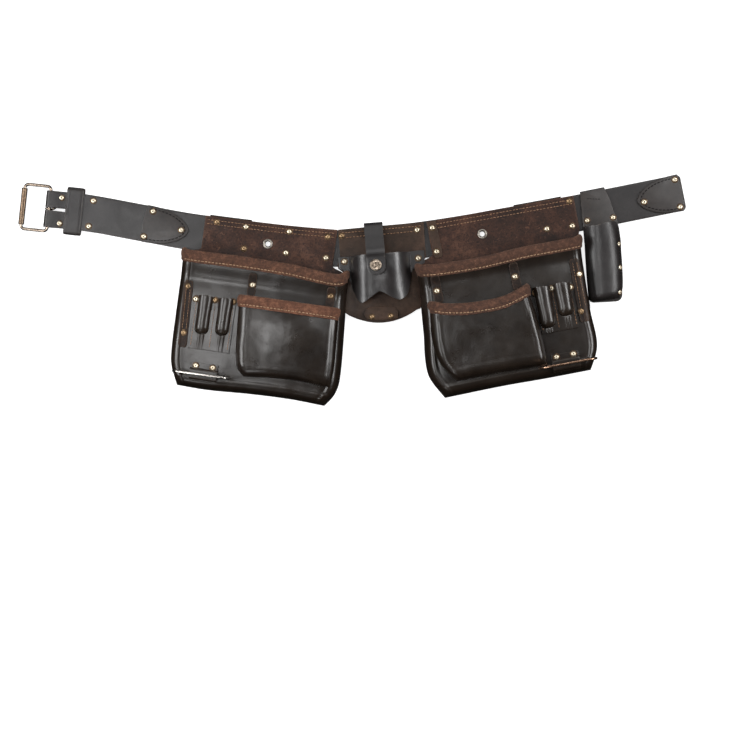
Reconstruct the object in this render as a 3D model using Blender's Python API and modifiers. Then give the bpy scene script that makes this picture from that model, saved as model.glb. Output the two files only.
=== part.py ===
"""Leather carpenter's tool belt, laid flat on its back.

Frame: millimetres in the constants, metres in the meshes.  +X runs along the
belt towards its strap end, +Y is up when the belt is worn, +Z points out of
the front.  The origin lies on the back of the backing plate behind the
centre holster, so everything rests on the plane Z = 0.
"""
import math

import bmesh
import bpy
from mathutils import Matrix

MM = 0.001
GAP = 0.3
SEAT = 2.6

# Layers of leather, back to front
LINING = 2.2
STRAP_THICK = 3.0
PANEL_THICK = 2.5
POCKET_THICK = 2.4
TRIM_THICK = 2.4
Z_MID = LINING + GAP
Z_STRAP = Z_MID + STRAP_THICK + GAP
Z_PANEL = Z_STRAP + STRAP_THICK + GAP
Z_OVERLAY = Z_PANEL + PANEL_THICK + GAP

# Main strap: two inch leather along one gentle curve
STRAP_HALF = 25.4
STRAP_END = 427.0
BELT_LINE = (
    (-455.0, 51.8), (-401.0, 46.0), (-328.0, 32.7), (-255.0, 19.5), (-119.5, 2.5), (-55.0, -3.5),
    (0.0, 1.5), (75.0, 10.0), (193.0, 29.5), (284.0, 46.4), (427.0, 75.0),
)

# Roller buckle
BAR_X = -455.0
BAR_Z = Z_MID + STRAP_THICK + GAP / 2
WIRE = 2.2
FOLD_RADIUS = WIRE + GAP + STRAP_THICK / 2
FOLD_END = -386.0
BUCKLE_REACH = 36.5
BUCKLE_HALF = 31.2
BUCKLE_CORNER = 5.4
ROLLER_RADIUS = 4.0
ROLLER_LENGTH = 51.0
PRONG_WIRE = 1.6
PRONG_LENGTH = 38.0
PRONG_REST = 110.0
SLOT_HALF = 2.6
SLOT_END = -432.0

# Keeper
KEEPER_X = -420.0
KEEPER_LENGTH = 24.0
KEEPER_HALF = 33.4
KEEPER_THICK = 2.2

# Tongue folded behind the strap end
TONGUE_HALF = 19.0
TONGUE_START = 178.0
TONGUE_END = 418.0
TONGUE_HOLES = 8
TONGUE_PITCH = 25.4

# Local frames of the pouches: origin x, origin y, turn in degrees
LEFT = (-140.0, 3.0, -8.0)
CENTRE = (0.0, -2.0, 4.5)
RIGHT = (167.5, 24.3, 10.5)
SHEATH = (314.5, 51.7, 2.0)

# Pouch sizes in their local frames
MAIN_DEPTH = 34.0
FRONT_DEPTH = 21.0
NECK_END = -20.0
DROP_START = -36.0
DROP_END = -66.0
TRIM_WIDTH = 14.0
EYELET_HOLE = 4.4
EYELET_OUTER = 6.6
RIVET_POST = 1.6
RIVET_CAP = 3.2

HAMMER_WIRE = 1.8
HAMMER_REACH = 42.0

SHEATH_DEPTH = 20.0
FLAP_HALF = 13.0
FLAP_X = -1.5
FLAP_HINGE = (32.0, 4.0)
SNAP_Y = -26.4
SNAP_Z = 44.5


# ---------------------------------------------------------------- helpers

def clear_scene():
    for item in list(bpy.data.objects):
        bpy.data.objects.remove(item, do_unlink=True)


def new_collection(name):
    group = bpy.data.collections.new(name)
    bpy.context.scene.collection.children.link(group)
    return group


def material(name, rgb, rough, metallic=0.0):
    made = bpy.data.materials.new(name)
    made.use_nodes = True
    shader = made.node_tree.nodes["Principled BSDF"]
    shader.inputs["Base Color"].default_value = (*rgb, 1.0)
    shader.inputs["Roughness"].default_value = rough
    shader.inputs["Metallic"].default_value = metallic
    return made


def through(points):
    """A smooth function of one variable through the given pairs."""
    def slope(i):
        low = points[max(i - 1, 0)]
        high = points[min(i + 1, len(points) - 1)]
        return (high[1] - low[1]) / (high[0] - low[0])

    def value(x):
        rising = points[-1][0] > points[0][0]
        i = 0
        while i < len(points) - 2 and (x > points[i + 1][0]) == rising:
            i += 1
        (x0, y0), (x1, y1) = points[i], points[i + 1]
        span = x1 - x0
        u = (x - x0) / span
        if u < 0.0:
            return y0 + slope(i) * (x - x0)
        if u > 1.0:
            return y1 + slope(i + 1) * (x - x1)
        m0 = slope(i) * span
        m1 = slope(i + 1) * span
        return (
            (2 * u**3 - 3 * u**2 + 1) * y0 + (u**3 - 2 * u**2 + u) * m0
            + (3 * u**2 - 2 * u**3) * y1 + (u**3 - u**2) * m1
        )
    return value


belt_line = through(BELT_LINE)


def belt_slope(x):
    return math.atan2(belt_line(x + 1.0) - belt_line(x - 1.0), 2.0)


def on_belt(x, across, z):
    """World point at x along the belt's middle line and across it."""
    turn = belt_slope(x)
    return (x - across * math.sin(turn), belt_line(x) + across * math.cos(turn), z)


def place(frame, x, y):
    turn = math.radians(frame[2])
    return (
        frame[0] + x * math.cos(turn) - y * math.sin(turn),
        frame[1] + x * math.sin(turn) + y * math.cos(turn),
    )


def smooth_step(a, b, value):
    u = min(max((value - a) / (b - a), 0.0), 1.0)
    return u * u * (3.0 - 2.0 * u)


def blend(a, b, u):
    return a + (b - a) * u


def steps(a, b, count):
    return [blend(a, b, i / count) for i in range(count + 1)]


def arc(cx, cy, radius, start, end, count):
    return [
        (cx + radius * math.cos(math.radians(a)), cy + radius * math.sin(math.radians(a)))
        for a in steps(start, end, count)
    ]


def rounded_rectangle(half_x, half_y, radius, count=4):
    points = []
    for quarter, (sx, sy) in enumerate(((1, 1), (-1, 1), (-1, -1), (1, -1))):
        start = 90.0 * quarter
        points += arc(sx * (half_x - radius), sy * (half_y - radius), radius, start, start + 90, count)
    return points


def link(name, mesh, look, frame=None):
    made = bpy.data.objects.new(name, mesh)
    mesh.materials.append(look)
    belt.objects.link(made)
    if frame:
        made.location = (frame[0] * MM, frame[1] * MM, 0.0)
        made.rotation_euler = (0.0, 0.0, math.radians(frame[2]))
    return made


def mesh_from(name, points, faces):
    mesh = bpy.data.meshes.new(name)
    mesh.from_pydata([tuple(c * MM for c in p) for p in points], [], faces)
    mesh.shade_smooth()
    mesh.set_sharp_from_angle(angle=math.radians(40))
    return mesh


def grid(name, rows, look, thickness, frame=None, offset=-1.0):
    """An open sheet through rows of points, given its leather's thickness."""
    width = len(rows[0])
    points = [p for row in rows for p in row]
    faces = [
        (j * width + i, (j + 1) * width + i, (j + 1) * width + i + 1, j * width + i + 1)
        for j in range(len(rows) - 1) for i in range(width - 1)
    ]
    made = link(name, mesh_from(name, points, faces), look, frame)
    shell = made.modifiers.new("leather", "SOLIDIFY")
    shell.thickness = thickness * MM
    shell.offset = offset
    return made


def sweep(name, sections, look):
    """A closed solid through equal sections, capped at both ends."""
    width = len(sections[0])
    points = [p for section in sections for p in section]
    faces = [
        (j * width + i, j * width + (i + 1) % width, (j + 1) * width + (i + 1) % width, (j + 1) * width + i)
        for j in range(len(sections) - 1) for i in range(width)
    ]
    last = (len(sections) - 1) * width
    faces.append(tuple(reversed(range(width))))
    faces.append(tuple(range(last, last + width)))
    return outward(link(name, mesh_from(name, points, faces), look))


def outward(made):
    work = bmesh.new()
    work.from_mesh(made.data)
    bmesh.ops.remove_doubles(work, verts=work.verts, dist=0.000001)
    bmesh.ops.recalc_face_normals(work, faces=work.faces)
    work.to_mesh(made.data)
    work.free()
    return made


def solid_curve(name, curve, look, matrix):
    """Turn a curve into a welded mesh object."""
    holder = bpy.data.objects.new(name + "_curve", curve)
    belt.objects.link(holder)
    holder.matrix_world = matrix
    bpy.context.view_layer.update()
    graph = bpy.context.evaluated_depsgraph_get()
    mesh = bpy.data.meshes.new_from_object(holder.evaluated_get(graph))
    bpy.data.objects.remove(holder, do_unlink=True)
    mesh.name = name
    made = link(name, mesh, look)
    made.matrix_world = matrix
    work = bmesh.new()
    work.from_mesh(mesh)
    bmesh.ops.remove_doubles(work, verts=work.verts, dist=0.00001)
    bmesh.ops.recalc_face_normals(work, faces=work.faces)
    work.to_mesh(mesh)
    work.free()
    mesh.shade_smooth()
    mesh.set_sharp_from_angle(angle=math.radians(35))
    return made


def flat(name, outline, low, thickness, look, holes=(), matrix=None):
    """A flat cut piece of leather from its outline."""
    curve = bpy.data.curves.new(name, "CURVE")
    curve.dimensions = "2D"
    curve.fill_mode = "BOTH"
    curve.extrude = thickness / 2 * MM
    for loop in (outline, *holes):
        line = curve.splines.new("POLY")
        line.points.add(len(loop) - 1)
        for spot, (x, y) in zip(line.points, loop):
            spot.co = (x * MM, y * MM, 0.0, 1.0)
        line.use_cyclic_u = True
    lift = Matrix.Translation((0.0, 0.0, (low + thickness / 2) * MM))
    return solid_curve(name, curve, look, (matrix or Matrix.Identity(4)) @ lift)


def wire(name, path, radius, look, matrix, closed=False, resolution=2):
    curve = bpy.data.curves.new(name, "CURVE")
    curve.dimensions = "3D"
    curve.bevel_depth = radius * MM
    curve.bevel_resolution = resolution
    curve.use_fill_caps = True
    line = curve.splines.new("POLY")
    line.points.add(len(path) - 1)
    for spot, point in zip(line.points, path):
        spot.co = (*(c * MM for c in point), 1.0)
    line.use_cyclic_u = closed
    return solid_curve(name, curve, look, matrix)


def turned(name, profile, look, location, count=12, closed=False):
    """A turned piece about Z: the profile runs down its outer side."""
    points = [(r, 0.0, z) for r, z in profile]
    mesh = bpy.data.meshes.new(name)
    edges = [(i, i + 1) for i in range(len(points) - 1)]
    if closed:
        edges.append((len(points) - 1, 0))
    mesh.from_pydata([tuple(c * MM for c in p) for p in points], edges, [])
    made = link(name, mesh, look)
    made.location = [c * MM for c in location]
    lathe = made.modifiers.new("turn", "SCREW")
    lathe.steps = count
    lathe.render_steps = count
    lathe.use_merge_vertices = True
    lathe.merge_threshold = 0.000005
    lathe.use_smooth_shade = True
    return made


def as_cutter(tool):
    """Move a piece from the belt to the cutters."""
    belt.objects.unlink(tool)
    cutters.objects.link(tool)
    tool.hide_render = True
    tool.display_type = "WIRE"
    return tool


def posts(name, spots, radius, count=10):
    """One cutter of upright round posts, for the holes of rivets and eyelets."""
    work = bmesh.new()
    for x, y in spots:
        bmesh.ops.create_cone(
            work, cap_ends=True, segments=count, radius1=radius * MM, radius2=radius * MM,
            depth=60 * MM, matrix=Matrix.Translation((x * MM, y * MM, 10 * MM)),
        )
    mesh = bpy.data.meshes.new(name)
    work.to_mesh(mesh)
    work.free()
    return as_cutter(link(name, mesh, NICKEL))


def cut(made, tool):
    hole = made.modifiers.new("hole", "BOOLEAN")
    hole.operation = "DIFFERENCE"
    hole.object = tool
    hole.solver = "EXACT"


# ---------------------------------------------------------------- fasteners

BELT_RIVETS = {
    "buckle": [(-438.5, 17.0), (-438.5, -19.0), (-395.5, 18.0), (-396.5, -18.0)],
    "patch_left": [(-313.0, 18.5), (-319.0, -18.5), (-270.5, 0.0)],
    "patch_right": [(418.5, 19.0), (418.5, -19.5), (371.5, -3.0)],
}
LEFT_RIVETS = [(-43.5, 17.5), (-42.0, -12.7), (17.0, 19.4)]
PANEL_TOP_RIVETS = [(-46.5, 19.7), (58.7, 19.7)]
EAR_RIVETS = [(-45.2, -16.6), (57.0, -19.9)]
RIGHT_RIVETS = [(106.0, 19.0)]
EDGE_RIVETS = [(-89.5, 17.0)]
LEFT_EYELET = (-10.0, -1.6)
RIGHT_EYELET = (-21.0, -3.9)


def rivet(name, spot, top, look, bottom=Z_STRAP + 0.1):
    """A domed cap on a post that ends flush with the back of its layers."""
    low = top + GAP
    profile = [(0.0, low + 1.5), (1.7, low + 1.35), (RIVET_CAP, low + 0.5), (RIVET_CAP, low)]
    profile += [(RIVET_POST, low), (RIVET_POST, bottom), (0.0, bottom)]
    return turned(name, profile, look, (*spot, 0.0), 10)


def double_rivet(name, spot, top, look):
    """A rivet with a cap on both faces, through the folded strap end."""
    low = top + GAP
    profile = [(0.0, low + 1.5), (1.7, low + 1.35), (RIVET_CAP, low + 0.5), (RIVET_CAP, low)]
    profile += [(RIVET_POST, low), (RIVET_POST, LINING), (RIVET_CAP, LINING), (2.4, 0.8), (0.0, 0.8)]
    return turned(name, profile, look, (*spot, 0.0), 10)


def eyelet(name, spot, top, look):
    low = top + GAP
    tube = EYELET_HOLE - GAP
    rim = EYELET_OUTER
    profile = [(tube, low + 0.9), (rim - 1.2, low + 0.9), (rim, low + 0.2), (rim, low)]
    profile += [(tube, low), (tube, Z_STRAP), (tube - 0.7, Z_STRAP), (tube - 0.7, low + 0.5)]
    return turned(name, profile, look, (*spot, 0.0), 14, closed=True)


# ---------------------------------------------------------------- strap

def strap_path():
    """Rear layer of the fold, round the buckle bar, then the whole front layer."""
    rear = Z_MID + STRAP_THICK / 2
    front = Z_STRAP + STRAP_THICK / 2
    path = [(x, rear) for x in steps(FOLD_END, BAR_X + 13, 5)]
    path.append((BAR_X + 6.5, blend(rear, BAR_Z - FOLD_RADIUS, 0.55)))
    path += arc(BAR_X, BAR_Z, FOLD_RADIUS, -90, -270, 10)
    path.append((BAR_X + 6.5, blend(front, BAR_Z + FOLD_RADIUS, 0.55)))
    path += [(x, front) for x in steps(BAR_X + 13, STRAP_END - 8, 44)]
    return path


def build_strap():
    front = Z_STRAP + STRAP_THICK / 2
    halves = (-1.0, 0.0, 1.0)
    rows = [[on_belt(x, STRAP_HALF * h, z) for h in halves] for x, z in strap_path()]
    for forward, width in ((4.0, 0.98), (7.0, 0.9), (8.0, 0.78)):
        rows.append([on_belt(STRAP_END - 8 + forward, STRAP_HALF * h * width, front) for h in halves])
    made = grid("belt_strap", rows, BLACK, STRAP_THICK, offset=0.0)
    half = SLOT_HALF
    slot = [
        [on_belt(x, a, z) for a, z in ((-half, -3), (half, -3), (half, 16), (-half, 16))]
        for x in (BAR_X - 12.0, SLOT_END)
    ]
    cut(made, as_cutter(sweep("slot_cutter", slot, BLACK)))
    cut(made, hole_tool)
    cut(made, eyelet_tool)


def build_tongue():
    tip = 16.0
    upper = [on_belt(x, TONGUE_HALF, 0)[:2] for x in steps(TONGUE_START + tip, TONGUE_END, 12)]
    lower = [on_belt(x, -TONGUE_HALF, 0)[:2] for x in steps(TONGUE_END, TONGUE_START + tip, 12)]
    end = [
        on_belt(TONGUE_START + tip * (1.0 - math.cos(a)), TONGUE_HALF * math.sin(a), 0)[:2]
        for a in steps(math.radians(-72), math.radians(72), 8)
    ]
    holes = []
    for i in range(TONGUE_HOLES):
        cx, cy, _ = on_belt(TONGUE_START + 26 + i * TONGUE_PITCH, 0, 0)
        holes.append(arc(cx, cy, 3.0, 0, 330, 11))
    flat("tongue_strap", upper + lower + end, Z_MID, STRAP_THICK, BLACK, holes)


def teardrop(blunt, tip, half):
    """Half-round patch outline: blunt side across the strap, tip on its middle."""
    upper = []
    for u in steps(0.0, 1.0, 14):
        along = math.sin(u * math.pi / 2)
        width = half * (1.0 - along**2.4) ** 0.62
        upper.append((blend(blunt, tip, along), width))
    outline = upper + [(x, -w) for x, w in reversed(upper[:-1])]
    bulge = (blunt - tip) * 0.045
    outline += [(blunt + bulge, -half * 0.55), (blunt + bulge, half * 0.55)]
    return [on_belt(x, w, 0)[:2] for x, w in outline]


def build_patches():
    for side, blunt, tip in (("left", -321.0, -260.5), ("right", 423.0, 363.0)):
        made = flat("strap_patch_" + side, teardrop(blunt, tip, 25.9), Z_PANEL, PANEL_THICK, BLACK)
        cut(made, hole_tool)


def build_keeper():
    turn = belt_slope(KEEPER_X)
    height = (Z_STRAP + STRAP_THICK + GAP) + KEEPER_THICK
    outer = rounded_rectangle(KEEPER_HALF, height / 2, 4.6)
    inner = rounded_rectangle(KEEPER_HALF - KEEPER_THICK - 0.6, height / 2 - KEEPER_THICK, 2.4)
    where = Matrix.Translation((KEEPER_X * MM, belt_line(KEEPER_X) * MM, height / 2 * MM))
    stand = Matrix.Rotation(turn, 4, "Z") @ Matrix.Rotation(math.radians(90), 4, "Z")
    stand = stand @ Matrix.Rotation(math.radians(90), 4, "X")
    flat("keeper_loop", outer, -KEEPER_LENGTH / 2, KEEPER_LENGTH, BLACK, (inner,), where @ stand)


def build_buckle():
    hinge = on_belt(BAR_X, 0, BAR_Z)
    where = Matrix.Translation([c * MM for c in hinge]) @ Matrix.Rotation(belt_slope(BAR_X), 4, "Z")
    outline = rounded_rectangle(BUCKLE_REACH / 2, BUCKLE_HALF, BUCKLE_CORNER, 5)
    ring = [(x - BUCKLE_REACH / 2, y, 0.0) for x, y in outline]
    frame = wire("buckle_frame", ring, WIRE, NICKEL, where, closed=True)
    outward(frame)
    tube = WIRE + GAP
    half = ROLLER_LENGTH / 2
    profile = [(ROLLER_RADIUS - 0.3, half), (ROLLER_RADIUS, half - 0.4), (ROLLER_RADIUS, 0.4 - half)]
    profile += [(ROLLER_RADIUS - 0.3, -half), (tube, -half), (tube, half)]
    roller = turned("buckle_roller", profile, BRONZE, (0, 0, 0), 16, closed=True)
    lay = Matrix.Translation((-BUCKLE_REACH * MM, 0, 0)) @ Matrix.Rotation(math.radians(90), 4, "X")
    roller.matrix_world = where @ lay
    curl = WIRE + GAP + PRONG_WIRE
    path = [(x, 0.0, z) for x, z in arc(0, 0, curl, -150, 90, 12)]
    path += [(-PRONG_LENGTH * u, 0.0, curl - 0.9 * u * u) for u in (0.35, 0.75, 0.97)]
    rest = Matrix.Rotation(math.radians(PRONG_REST), 4, "Y")
    wire("buckle_prong", path, PRONG_WIRE, NICKEL, where @ rest)


def channel_section(outer, inner, top):
    """Open channel round the strap, as points across the belt and up."""
    return (
        (-outer, 0), (outer, 0), (outer, top), (inner, top),
        (inner, LINING), (-inner, LINING), (-inner, top), (-outer, top),
    )


def build_rear():
    """Backing plate, and the channels that carry the strap behind each pouch."""
    plate = [place(CENTRE, x, y) for x, y in rounded_rectangle(44.0, 24.0, 8.0)]
    flat("rear_backing", plate, 0.0, LINING, BROWN)
    top = Z_STRAP + STRAP_THICK
    inner = STRAP_HALF + 0.5
    outer = inner + LINING
    section = channel_section(outer, inner, top)
    for side, start, end in (("left", -234.0, -176.0), ("right", 196.0, 262.0)):
        ring = [[on_belt(x, a, z) for a, z in section] for x in steps(start, end, 4)]
        sweep("rear_tunnel_" + side, ring, BROWN)


# ---------------------------------------------------------------- pouches

class Pouch:
    """A pouch's shape in its local frame, as one height over its panel."""

    def __init__(self, frame, mouth, bottom, left, right, top):
        self.frame = frame
        self.mouth = mouth
        self.bottom = bottom
        self.left = through(left)
        self.right = through(right)
        self.top = top

    def back(self, y):
        return Z_PANEL * (1.0 - smooth_step(-DROP_START, -DROP_END, -y))

    def span(self, y):
        """Left and right edge of the pocket, drawn in at the bottom corners."""
        corner = 16.0
        low = max(0.0, (self.bottom + corner - y) / corner)
        inset = corner * 0.55 * (1.0 - math.sqrt(max(0.0, 1.0 - low * low)))
        return self.left(y) + inset, self.right(y) - inset

    def across(self, x, y):
        low, high = self.span(y)
        return min(max((2.0 * x - low - high) / (high - low), -1.0), 1.0)

    def swell(self, s, t):
        arch = max(0.0, 1.0 - abs(s) ** 4.2) ** 0.5
        close = 1.0 if t < 0.8 else max(0.0, 1.0 - ((t - 0.8) / 0.2) ** 2.6) ** 0.5
        return MAIN_DEPTH * arch * close * (0.86 + 0.14 * smooth_step(0.0, 0.6, t))

    def height(self, x, y):
        """Outer surface of the main pocket above the bench."""
        t = (self.mouth - y) / (self.mouth - self.bottom)
        base = self.back(y) + PANEL_THICK + SEAT
        return base + self.swell(self.across(x, y), min(max(t, 0.0), 1.0))


left_pouch = Pouch(
    LEFT, -29.5, -212.5,
    ((-20.0, -123.0), (-120.0, -122.5), (-187.0, -119.5), (-213.0, -113.0)),
    ((-20.0, 105.5), (-60.0, 108.5), (-112.0, 112.0), (-175.0, 115.0), (-213.0, 106.0)),
    (26.0, 32.0),
)
right_pouch = Pouch(
    RIGHT, -37.0, -218.0,
    ((-20.0, -119.0), (-64.0, -121.0), (-127.0, -126.0), (-183.0, -129.5), (-219.0, -120.0)),
    ((-20.0, 111.0), (-60.0, 109.0), (-135.0, 107.5), (-184.0, 106.0), (-219.0, 99.0)),
    (27.0, 26.0),
)


def build_panel(name, pouch, neck, holes):
    """Back panel: narrow at the belt, as wide as the pocket below it."""
    across = steps(0.0, 1.0, 8)
    rows = []
    for rise in (1.0, 0.66, 0.33):
        rows.append([
            (blend(*neck, u), blend(NECK_END, blend(*pouch.top, u), rise), Z_PANEL) for u in across
        ])
    for level in steps(NECK_END, pouch.bottom, 16):
        wide = smooth_step(-NECK_END, 10.0 - NECK_END, -level)
        low, high = pouch.span(level)
        low, high = blend(neck[0], low, wide), blend(neck[1], high, wide)
        rows.append([(blend(low, high, u), level, pouch.back(level)) for u in across])
    made = grid(name, rows, BROWN, PANEL_THICK, pouch.frame, offset=1.0)
    for tool in holes:
        cut(made, tool)
    return made


def build_main_pocket(name, pouch):
    rows = []
    for t in steps(0.0, 0.78, 7) + [0.84, 0.89, 0.93, 0.96, 0.985, 1.0]:
        y = blend(pouch.mouth, pouch.bottom, t)
        low, high = pouch.span(y)
        row = []
        for s in ARCH_STEPS:
            x = blend(low, high, (s + 1.0) / 2.0)
            row.append((x, y, pouch.back(y) + PANEL_THICK + SEAT + pouch.swell(s, t)))
        rows.append(row)
    return grid(name, rows, LEATHER, POCKET_THICK, pouch.frame)


ARCH_ANGLES = (-90, -82, -74, -65, -50, -30, -10, 10, 30, 50, 65, 74, 82, 90)
ARCH_STEPS = [math.sin(math.radians(a)) for a in ARCH_ANGLES]


def build_trim(name, pouch, surface, spread, mouth, look):
    """Suede binding over a pocket's mouth; surface gives the pocket's outside."""
    rows = []
    for drop in (-1.0, TRIM_WIDTH / 2, TRIM_WIDTH):
        row = []
        for s in ARCH_STEPS[1:-1]:
            point = surface(s, mouth - max(drop, 0.0))
            normal = spread(s)
            row.append((point[0] + normal[0] * 0.4, mouth - drop, point[2] + normal[1] * 0.4))
        rows.append(row)
    return grid(name, rows, look, TRIM_THICK, pouch.frame, offset=1.0)


def main_surface(pouch):
    def surface(s, y):
        low, high = pouch.span(y)
        x = blend(low, high, (s + 1.0) / 2.0)
        return (x, y, pouch.height(x, y))
    return surface


def side_normal(s):
    """Direction out of an arch's side, in x and z."""
    lean = s ** 3 * abs(s) ** 1.5
    return (lean * 1.6, math.sqrt(max(0.05, 1.0 - lean * lean)))


class FrontPocket:
    """A smaller pocket sewn on the face of a main pocket."""

    def __init__(self, pouch, mouth, bottom, left, right, depth):
        self.pouch = pouch
        self.mouth = mouth
        self.bottom = bottom
        self.left = through(left)
        self.right = through(right)
        self.depth = depth

    def surface(self, s, y):
        t = (self.mouth - y) / (self.mouth - self.bottom)
        corner = 16.0
        low = max(0.0, (self.bottom + corner - y) / corner)
        inset = corner * 0.6 * (1.0 - math.sqrt(max(0.0, 1.0 - low * low)))
        x = blend(self.left(y) + inset, self.right(y) - inset, (s + 1.0) / 2.0)
        arch = max(0.0, 1.0 - abs(s) ** 3.4) ** 0.55
        close = 1.0 if t < 0.74 else max(0.0, 1.0 - ((t - 0.74) / 0.26) ** 2.2) ** 0.55
        return (x, y, self.pouch.height(x, y) + SEAT + self.depth * arch * close)

    def build(self, name):
        rows = []
        for t in steps(0.0, 0.7, 4) + [0.8, 0.88, 0.94, 0.98, 1.0]:
            y = blend(self.mouth, self.bottom, t)
            rows.append([self.surface(s, y) for s in ARCH_STEPS])
        return grid(name, rows, LEATHER, POCKET_THICK, self.pouch.frame)


left_front = FrontPocket(
    left_pouch, -81.0, -186.0,
    ((-80.0, -36.5), (-125.0, -34.0), (-160.0, -31.0), (-187.0, -22.0)),
    ((-80.0, 102.0), (-125.0, 105.0), (-160.0, 106.5), (-187.0, 104.0)),
    FRONT_DEPTH,
)
right_front = FrontPocket(
    right_pouch, -93.0, -198.0,
    ((-92.0, -111.5), (-143.0, -116.5), (-180.0, -112.0), (-198.0, -101.0)),
    ((-92.0, 24.5), (-149.0, 31.0), (-198.0, 33.0)),
    FRONT_DEPTH,
)


def build_slots(name, pouch, tubes, left, right, mouth, bottom):
    """One piece of leather on the pocket's face, raised into upright tubes."""
    columns = []
    for centre, half, _ in tubes:
        columns += [centre + half * c for c in (-1.0, -0.85, -0.5, 0.0, 0.5, 0.85, 1.0)]
    columns = [left] + columns + [right]
    rows = []
    for t in steps(0.0, 1.0, 9):
        y = blend(mouth, bottom, t)
        row = []
        for x in columns:
            z = pouch.height(x, y) + 0.5
            for centre, half, low in tubes:
                u = (x - centre) / half
                if abs(u) < 1.0:
                    close = 1.0 - smooth_step(low + 9.0, low - 2.0, y)
                    z += half * 1.15 * math.sqrt(1.0 - u * u) * close
            row.append((x, y, z))
        rows.append(row)
    return grid(name, rows, LEATHER, 1.8, pouch.frame, offset=1.0)


def build_strip(name, pouch, x, half, top, bottom):
    """Flat strip on the pocket's face, along its side."""
    rows = [
        [(x + half * h, y, pouch.height(x + half * h, y) + 1.2) for h in (-1.0, 0.0, 1.0)]
        for y in steps(top, bottom, 6)
    ]
    return grid(name, rows, BROWN, 1.8, pouch.frame, offset=1.0)


def hammer_height(pouch, centre, half, y):
    return max(pouch.height(centre + half * k, y) for k in (-1, -0.5, 0, 0.5, 1)) + 0.9 + HAMMER_WIRE


def build_hammer_loop(side, pouch, centre, half, y):
    """Wire ring that stands out of the pocket's face, and its leather tab."""
    z = hammer_height(pouch, centre, half * 0.55, y)
    turn = Matrix.Rotation(math.radians(pouch.frame[2]), 4, "Z")
    where = Matrix.Translation((*(c * MM for c in place(pouch.frame, centre, y)), z * MM)) @ turn
    ring = [(x, 0.0, h + HAMMER_REACH / 2) for x, h in rounded_rectangle(half, HAMMER_REACH / 2, 11.0, 5)]
    outward(wire(side + "_hammer_loop", ring, HAMMER_WIRE, NICKEL, where, closed=True))
    rows = []
    clear = HAMMER_WIRE + 0.6
    tab = half * 0.5
    for up in (15.0, 8.0, 4.0, clear, 1.2, -1.2, -clear, -4.0, -8.0):
        bridge = math.sqrt(max(0.0, 1.0 - (up / 6.5) ** 2))
        row = []
        for k in (-1.0, -0.33, 0.33, 1.0):
            x = centre + tab * k
            face = pouch.height(x, y + up) + 0.5
            row.append((x, y + up, max(face, blend(face, z + clear + 0.3, min(1.0, bridge * 1.6)))))
        rows.append(row)
    made = grid(side + "_hammer_tab", rows, LEATHER, 2.0, pouch.frame, offset=1.0)
    return made


# ---------------------------------------------------------------- centre holster

def holster_swell(x, y):
    rise = smooth_step(-34.0, -17.0, x) * (1.0 - smooth_step(22.0, 44.0, x))
    return 26.0 * rise * blend(1.0, 0.82, smooth_step(25.0, 75.0, -y))


def build_holster():
    panel = [(-50.6, 28.6), (10.0, 29.2), (68.5, 30.0), (68.0, -20.0), (52.3, -32.5), (55.0, -62.0)]
    panel += [(55.8, -86.0), (48.0, -94.5), (34.0, -100.5), (18.0, -104.0), (0.0, -105.0), (-20.0, -103.0)]
    panel += [(-36.0, -97.5), (-48.6, -88.0), (-46.0, -66.0), (-43.2, -50.0), (-41.2, -40.0), (-42.6, -35.0)]
    panel += [(-54.6, -25.9), (-55.5, -20.0), (-50.6, -12.0)]
    made = flat("holster_panel", [place(CENTRE, *p) for p in panel], Z_PANEL, PANEL_THICK, BROWN)
    cut(made, hole_tool)
    edge = through((
        (-53.0, -27.0), (-45.5, -30.0), (-38.2, -40.0), (-33.0, -60.0), (-27.0, -75.0), (-22.0, -75.5),
        (-12.0, -69.0), (0.5, -62.0), (12.0, -68.5), (25.0, -75.0), (33.0, -72.5), (38.0, -66.0),
        (42.0, -50.0), (47.0, -37.0), (54.0, -30.5), (66.0, -28.0),
    ))
    columns = steps(-53.0, -36.0, 3) + steps(-33.0, 44.0, 16) + steps(48.0, 66.0, 3)
    rows = []
    for t in steps(0.0, 1.0, 9):
        row = []
        for x in columns:
            y = blend(-10.0, edge(x), t)
            row.append((x, y, Z_OVERLAY + holster_swell(x, y)))
        rows.append(row)
    front = grid("holster_front", rows, BLACK, PANEL_THICK, CENTRE, offset=1.0)
    cut(front, hole_tool)
    bar = [(-15.0, -82.0), (14.0, -83.5), (24.0, -90.0), (22.0, -100.5), (-20.0, -98.5), (-23.0, -89.0)]
    flat("holster_bar", [place(CENTRE, *p) for p in bar], Z_OVERLAY, 2.2, BROWN)


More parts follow.
